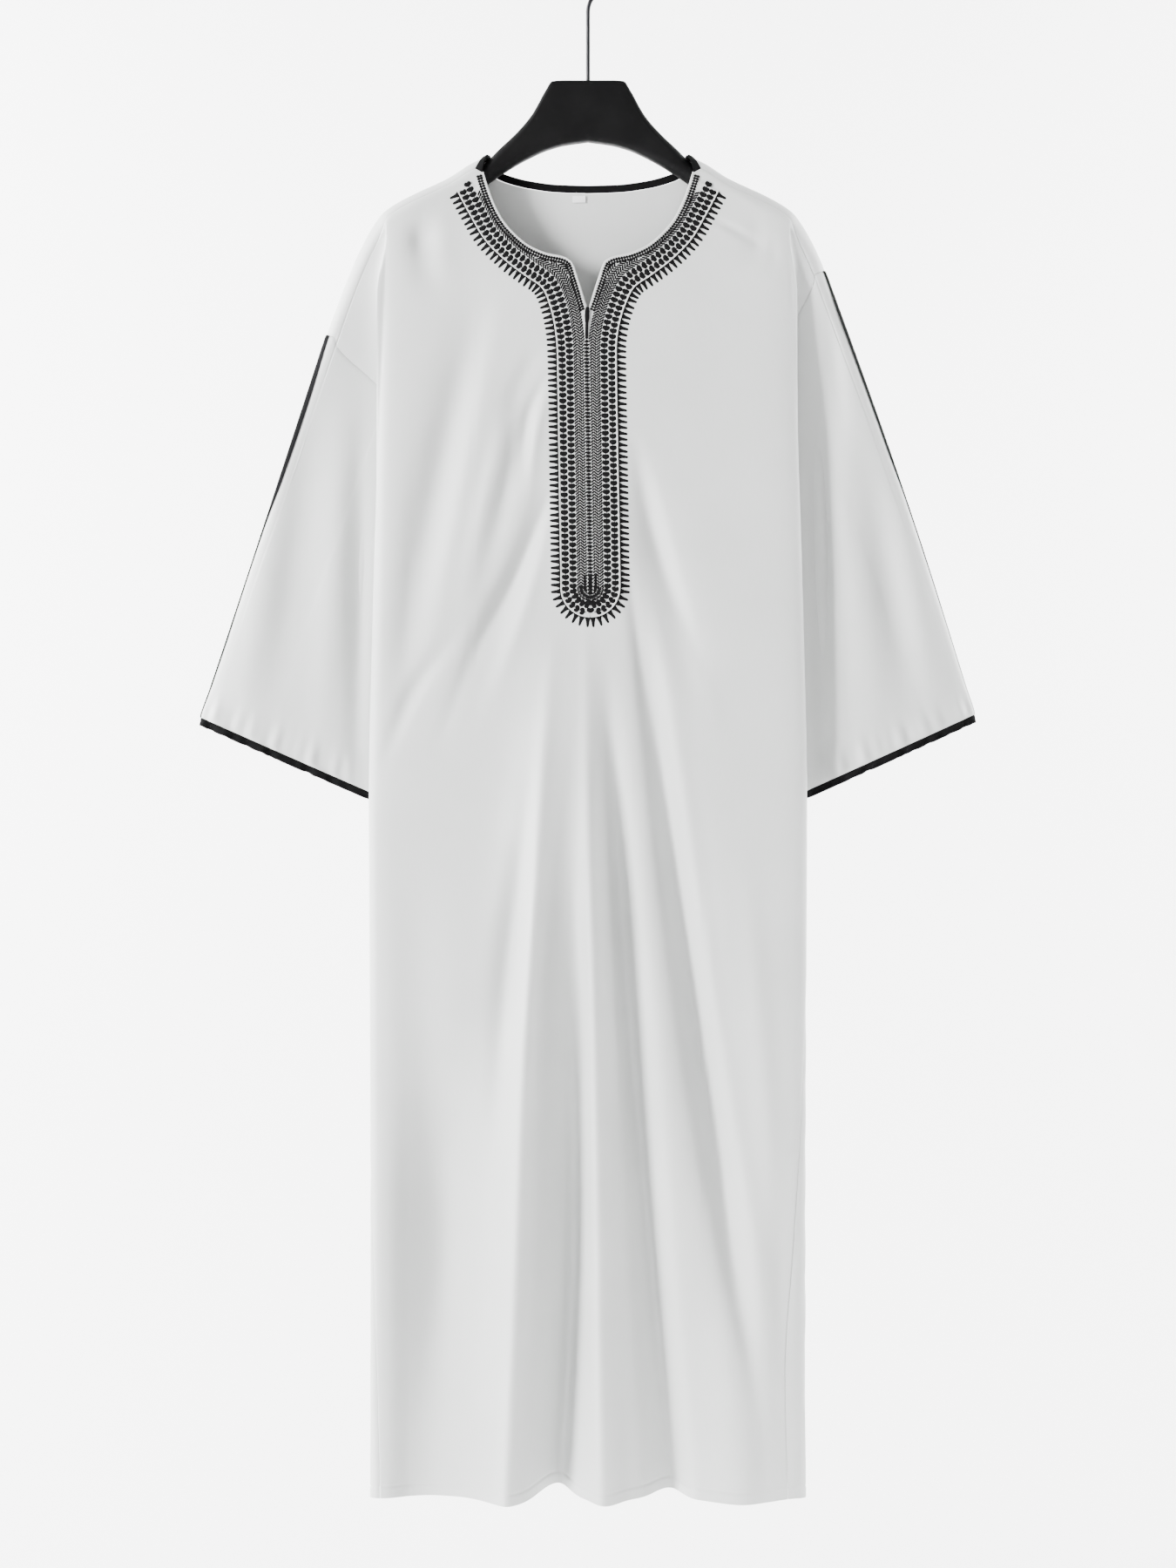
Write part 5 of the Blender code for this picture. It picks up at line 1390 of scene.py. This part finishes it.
def band_ground(side):
    """The close white stitching under the pattern, from the neckline and the slit out to the white line."""
    runs = np.linspace(0, band_run[-1], 300)
    place, _ = on_band(runs, np.zeros(len(runs)))
    share = np.linspace(0, 1, 20)
    half_line = neckline[neckline[:, 0] * side.sign > 0.6]
    half_line = half_line[np.argsort(half_line[:, 1])]
    inner = np.stack([np.abs(half_line[:, 0]), half_line[:, 1]], -1)
    inner = inner[inner[:, 1] >= place[0, 1] - 18]
    gap = np.stack([np.full(60, 0.35), np.linspace(inner[-1, 1] + 2, PLACKET_FOOT + PLACKET_HALF, 60)], -1)
    inner = np.vstack([inner, gap])
    inner = along(inner, np.linspace(0, lengths_along(inner)[-1], len(runs)))
    flat = place[:, None] + (inner - place)[:, None] * share[None, :, None]
    x = flat[..., 0] * side.sign + axis_at(flat[..., 1]) * axis_share(flat[..., 1])
    grid = lay(x, flat[..., 1], np.full(x.shape, GROUND_LIFT))
    return grid


def line_work(side, threads):
    """The teeth, the hearts and the black edge line of one half, all set out along the white line."""
    jitter = np.random.default_rng(11 if side is left else 12)
    place, way = lane(TOOTH_OUT, TOOTH_PITCH)
    below = ease((place[:, 1] - DROOP_FROM) / DROOP_OVER)
    below = below * ease((PLACKET_FOOT + DROOP_PAST - place[:, 1]) / DROOP_FADE)
    spread_of_teeth = jitter.uniform(-TOOTH_JITTER, TOOTH_JITTER, len(place))
    droop = below * (TOOTH_DROOP if side is right else 0.0) + spread_of_teeth
    out = turned(way, 90 - droop)
    threads["black"].add(np.array(TOOTH), TOOTH_HEIGHT, place, out, side.sign, lift=CLOTH_LIFT)
    place, way = lane(EDGE_OUT, EDGE_PITCH)
    threads["black"].add(np.array(STROKE) * EDGE_SIZE, FINE_HEIGHT, place, way, side.sign, 5)
    for row, inward in enumerate(HEART_ROWS):
        place, way = lane(inward, HEART_PITCH, 0.5 * row)
        kept = from_neckline(place) > HEART_CLEAR
        place, way = place[kept], way[kept]
        for lean in (-LOBE_LEAN, LOBE_LEAN):
            threads["black"].add(np.array(LOBE), LOBE_HEIGHT, place, turned(-way, lean), side.sign)
        stem = np.array(STROKE) * STEM_SIZE + STEM_SHIFT
        threads["black"].add(stem, STEM_HEIGHT, place, way, side.sign, 5)
        between, way = lane(inward, HEART_PITCH, 0.5 * row + 0.5)
        kept = from_neckline(between) > HEART_CLEAR
        outline = np.array(STROKE) * OUTLINE_SIZE
        for lean in (OUTLINE_LEAN, -OUTLINE_LEAN):
            leaning = turned(way[kept], lean)
            threads["white"].add(outline, FINE_HEIGHT, between[kept], leaning, side.sign, 5, WORK_LIFT - 0.08)


def braid_work(side, threads):
    """Lanes of slanting strokes, black and white by turns. Each lane leans alike on both halves."""
    for values in BRAID:
        row = dict(zip(BRAID_COLUMNS, values))
        for colour, shift in (("black", 0.0), ("white", 0.5)):
            place, way = lane(row["inward"], BRAID_PITCH, shift)
            kept = (place[:, 1] > row["from_drop"]) & (place[:, 1] < row["to_drop"])
            kept &= from_neckline(place) > NECK_CLEAR
            kept &= place[:, 0] > np.where(place[:, 1] < PLACKET_FOOT, AXIS_CLEAR, FOOT_CLEAR)
            kept &= place[:, 0] > (SLIT_POINT - place[:, 1]) * SLIT_FLARE + SLIT_CLEAR
            place, way = place[kept], way[kept]
            lean = -side.sign * row["lean"] * np.ones(len(place))
            stroke = np.array(STROKE) * BRAID_SIZES[colour]
            threads[colour].add(stroke, STROKE_HEIGHT, place, turned(way, lean), side.sign, 5)


def neck_dots(side, threads):
    """Two lines of small dark beads of thread that follow the neckline."""
    half_line = neckline[neckline[:, 0] * side.sign > 0.4]
    half_line = np.abs(half_line[np.argsort(half_line[:, 1])])
    line = along(half_line, np.linspace(0, lengths_along(half_line)[-1], 400))
    way = unit(np.gradient(line, axis=0))
    outside = np.stack([way[:, 1], -way[:, 0]], -1)
    for away in DOT_LINES:
        path = line + outside * (away + 0.8)
        run = lengths_along(path)
        at = np.arange(3.0, run[-1], DOT_PITCH)
        place = along(path, at)
        along_it = unit(np.stack([np.interp(at, run, way[:, k]) for k in range(2)], -1))
        kept = (place[:, 0] > 0.9) & (from_neckline(place) > away)
        dot = np.array(BEAD) * DOT_SIZE
        threads["black"].add(dot, DOT_HEIGHT, place[kept], along_it[kept], side.sign, 5)


def middle_work(threads):
    """The chain of beads down the middle with its white dots, the dark round foot and the slit's point."""
    chain = np.arange(SLIT_FOOT + 1.5, PLACKET_FOOT + 5, BEAD_PITCH)
    down = np.tile([0.0, 1.0], (len(chain), 1))
    threads["black"].add(np.array(BEAD), BEAD_HEIGHT, np.stack([0 * chain, chain], -1), down, 1.0, 7)
    foot = np.array([[0.0, PLACKET_FOOT - 1.0]])
    round_foot = np.array(STROKE) * FOOT_SIZE
    threads["black"].add(round_foot, FOOT_HEIGHT, foot, down[:1], 1.0, 9, lift=WORK_LIFT - 0.06)
    for inward in HEART_ROWS:
        centre = np.array([[0.0, PLACKET_FOOT + PLACKET_HALF - inward]])
        for lean in (-LOBE_LEAN, LOBE_LEAN):
            threads["black"].add(np.array(LOBE), LOBE_HEIGHT, centre, turned(-down[:1], lean), 1.0)
    point = np.array([[0.0, SLIT_POINT - 1.0]])
    filling = np.array(STROKE) * POINT_SIZE
    threads["black"].add(filling, POINT_HEIGHT, point, down[:1], 1.0, 7, lift=POINT_LIFT)
    beside = np.stack([np.full(len(chain), WHITE_DOT_X), chain + BEAD_PITCH / 2], -1)
    for sign in (-1.0, 1.0):
        threads["white"].add(np.array(BEAD) * WHITE_DOT_SIZE, WHITE_DOT_HEIGHT, beside, down, sign, 5)


threads = {"black": Stitches(), "white": Stitches()}
for side in (left, right):
    line_work(side, threads)
    braid_work(side, threads)
    neck_dots(side, threads)
middle_work(threads)

black_floss = thread_material(
    "black_floss", (0.0024, 0.0024, 0.0026), (0.005, 0.005, 0.0054), 0.65, 0.0, 0.06
)
white_floss = thread_material("white_floss", (0.5, 0.505, 0.5), (0.66, 0.67, 0.66), 0.45, 0.1, 0.3)
black_work = threads["black"].made("black_stitches", black_floss)
white_work = threads["white"].made("white_stitches", white_floss)
for side in (left, right):
    grid = band_ground(side)
    grid = grid if side is left else grid[:, ::-1]
    ground = cloth(f"embroidery_ground_{side.name}", grid, grid_normals(grid), white_floss, GROUND_THICK)
    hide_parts(f"embroidery_{side.name}")
    line = np.stack([band_line[::2, 0] * side.sign, band_line[::2, 1]], -1)
    line[:, 0] += axis_at(line[:, 1]) * axis_share(line[:, 1])
    low, high = (lay(line[:, 0], line[:, 1], np.full(len(line), lift)) for lift in (WORK_LIFT, WORK_LIFT + 1))
    out = unit(high - low)
    across = unit(np.cross(np.gradient(low, axis=0), out))
    cord = carried(f"raised_line_{side.name}", low, across, out, oblong(1.5, 1.1, 10, 1.0), white_floss)


# The bar tack: close black satin stitches worked across the foot of the slit, where they keep it
# from tearing down any further.
TACK_LENGTH = 20.0
TACK_WIDTH = 3.0
TACK_DROP = 370.0
TACK_PITCH = 0.55
TACK_HEIGHT = 0.9

tack = Stitches()
drops = np.arange(TACK_DROP - TACK_LENGTH / 2, TACK_DROP + TACK_LENGTH / 2, TACK_PITCH)
sideways = np.tile([1.0, 0.0], (len(drops), 1))
bar = np.array(STROKE) * (TACK_WIDTH / 6.6, 0.75)
tack.add(bar, TACK_HEIGHT, np.stack([0 * drops, drops], -1), sideways, 1.0, 7, WORK_LIFT + 0.6)
bar_tack = tack.made("placket_bar_tack", black_floss)
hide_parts("slit_bar_tack")


# The studio: a pale sheet that runs level under the robe and curves up behind it, soft lights from
# the front and both sides, and the camera straight in front at the height of the robe's middle.
FLOOR_DROP = 1.72
CAMERA_AWAY = 3.5
CAMERA_DROP = 0.81175
FRAME_HIGH = 1.53
SENSOR = 36.0
ROOM_LIGHT = 0.12
BACKDROP_HALF = 6.0
BACKDROP_BEHIND = 1.3
BACKDROP_BEND = 0.8
BACKDROP_TOP = 4.5
BACKDROP_STEP = 0.05


def backdrop_sheet():
    """A strip drawn along x whose profile is a level run, a quarter circle and a rise."""
    turn = np.linspace(-math.pi / 2, 0, 24)
    bend_y, bend_z, bend = BACKDROP_BEHIND, -FLOOR_DROP + BACKDROP_BEND, BACKDROP_BEND
    level_y = np.linspace(-BACKDROP_HALF, bend_y - BACKDROP_STEP, 12)
    level = np.stack([level_y, np.full(12, -FLOOR_DROP)], -1)
    curve = np.stack([bend_y + bend * np.cos(turn), bend_z + bend * np.sin(turn)], -1)
    rise_z = np.linspace(bend_z + BACKDROP_STEP, BACKDROP_TOP, 12)
    rise = np.stack([np.full(12, bend_y + bend), rise_z], -1)
    profile = np.vstack([level, curve, rise])
    x = np.linspace(-BACKDROP_HALF, BACKDROP_HALF, 9)
    one = np.ones((len(profile), len(x)))
    grid = np.stack([x * one, profile[:, :1] * one, profile[:, 1:] * one], -1)
    mesh = bpy.data.meshes.new("backdrop")
    mesh.from_pydata(grid.reshape(-1, 3).tolist(), [], cells(len(profile), 9)[:, ::-1].tolist())
    mesh.shade_smooth()
    return mesh


def paper_material():
    """Pale matt paper in front and clear from behind, so that the robe's back can be looked at too."""
    material, shader, nodes, links = new_material("pale_paper")
    shader.inputs["Base Color"].default_value = (0.93, 0.93, 0.93, 1)
    shader.inputs["Roughness"].default_value = 0.9
    output = next(node for node in nodes if node.bl_idname == "ShaderNodeOutputMaterial")
    facing = nodes.new("ShaderNodeNewGeometry")
    clear = nodes.new("ShaderNodeBsdfTransparent")
    choice = nodes.new("ShaderNodeMixShader")
    links.new(facing.outputs["Backfacing"], choice.inputs[0])
    links.new(shader.outputs["BSDF"], choice.inputs[1])
    links.new(clear.outputs["BSDF"], choice.inputs[2])
    links.new(choice.outputs["Shader"], output.inputs["Surface"])
    return material


backdrop = bpy.data.objects.new("backdrop", backdrop_sheet())
backdrop.data.materials.append(paper_material())
bpy.context.scene.collection.objects.link(backdrop)

LIGHT_COLUMNS = ("name", "x", "y", "z", "to_x", "to_y", "to_z", "size", "watts")
LIGHTS = (
    ("key_from_left", -3.2, -1.9, 0.4, 0.0, 0.0, -0.8, 1.0, 500.0),
    ("fill_from_front", 0.5, -3.7, -0.3, 0.0, 0.0, -0.8, 2.2, 40.0),
    ("top_of_set", 0.0, -1.4, 2.4, 0.0, 0.0, -0.8, 2.0, 30.0),
    ("wall_left", -2.4, 0.5, 0.2, -0.48, 2.1, -0.6, 1.8, 340.0),
    ("wall_right", 2.4, 0.5, 0.2, 0.48, 2.1, -0.6, 1.8, 340.0),
)
for row in LIGHTS:
    lamp = dict(zip(LIGHT_COLUMNS, row))
    data = bpy.data.lights.new(lamp["name"], "AREA")
    data.shape = "SQUARE"
    data.size = lamp["size"]
    data.energy = lamp["watts"]
    light = bpy.data.objects.new(lamp["name"], data)
    light.location = (lamp["x"], lamp["y"], lamp["z"])
    way = np.array([lamp["to_x"], lamp["to_y"], lamp["to_z"]]) - np.array(light.location)
    light.rotation_euler = (
        math.atan2(math.hypot(way[0], way[1]), -way[2]),
        0.0,
        math.atan2(way[1], way[0]) - math.pi / 2,
    )
    bpy.context.scene.collection.objects.link(light)

world = bpy.data.worlds.new("soft_room")
world.use_nodes = True
world.node_tree.nodes["Background"].inputs["Color"].default_value = (1.0, 1.0, 1.0, 1)
world.node_tree.nodes["Background"].inputs["Strength"].default_value = ROOM_LIGHT
bpy.context.scene.world = world

camera_data = bpy.data.cameras.new("camera")
camera_data.sensor_width = SENSOR
camera_data.lens = CAMERA_AWAY / FRAME_HIGH * SENSOR
camera = bpy.data.objects.new("camera", camera_data)
camera.location = (0.0, -CAMERA_AWAY, -CAMERA_DROP)
camera.rotation_euler = (math.pi / 2, 0.0, 0.0)
bpy.context.scene.collection.objects.link(camera)
bpy.context.scene.camera = camera
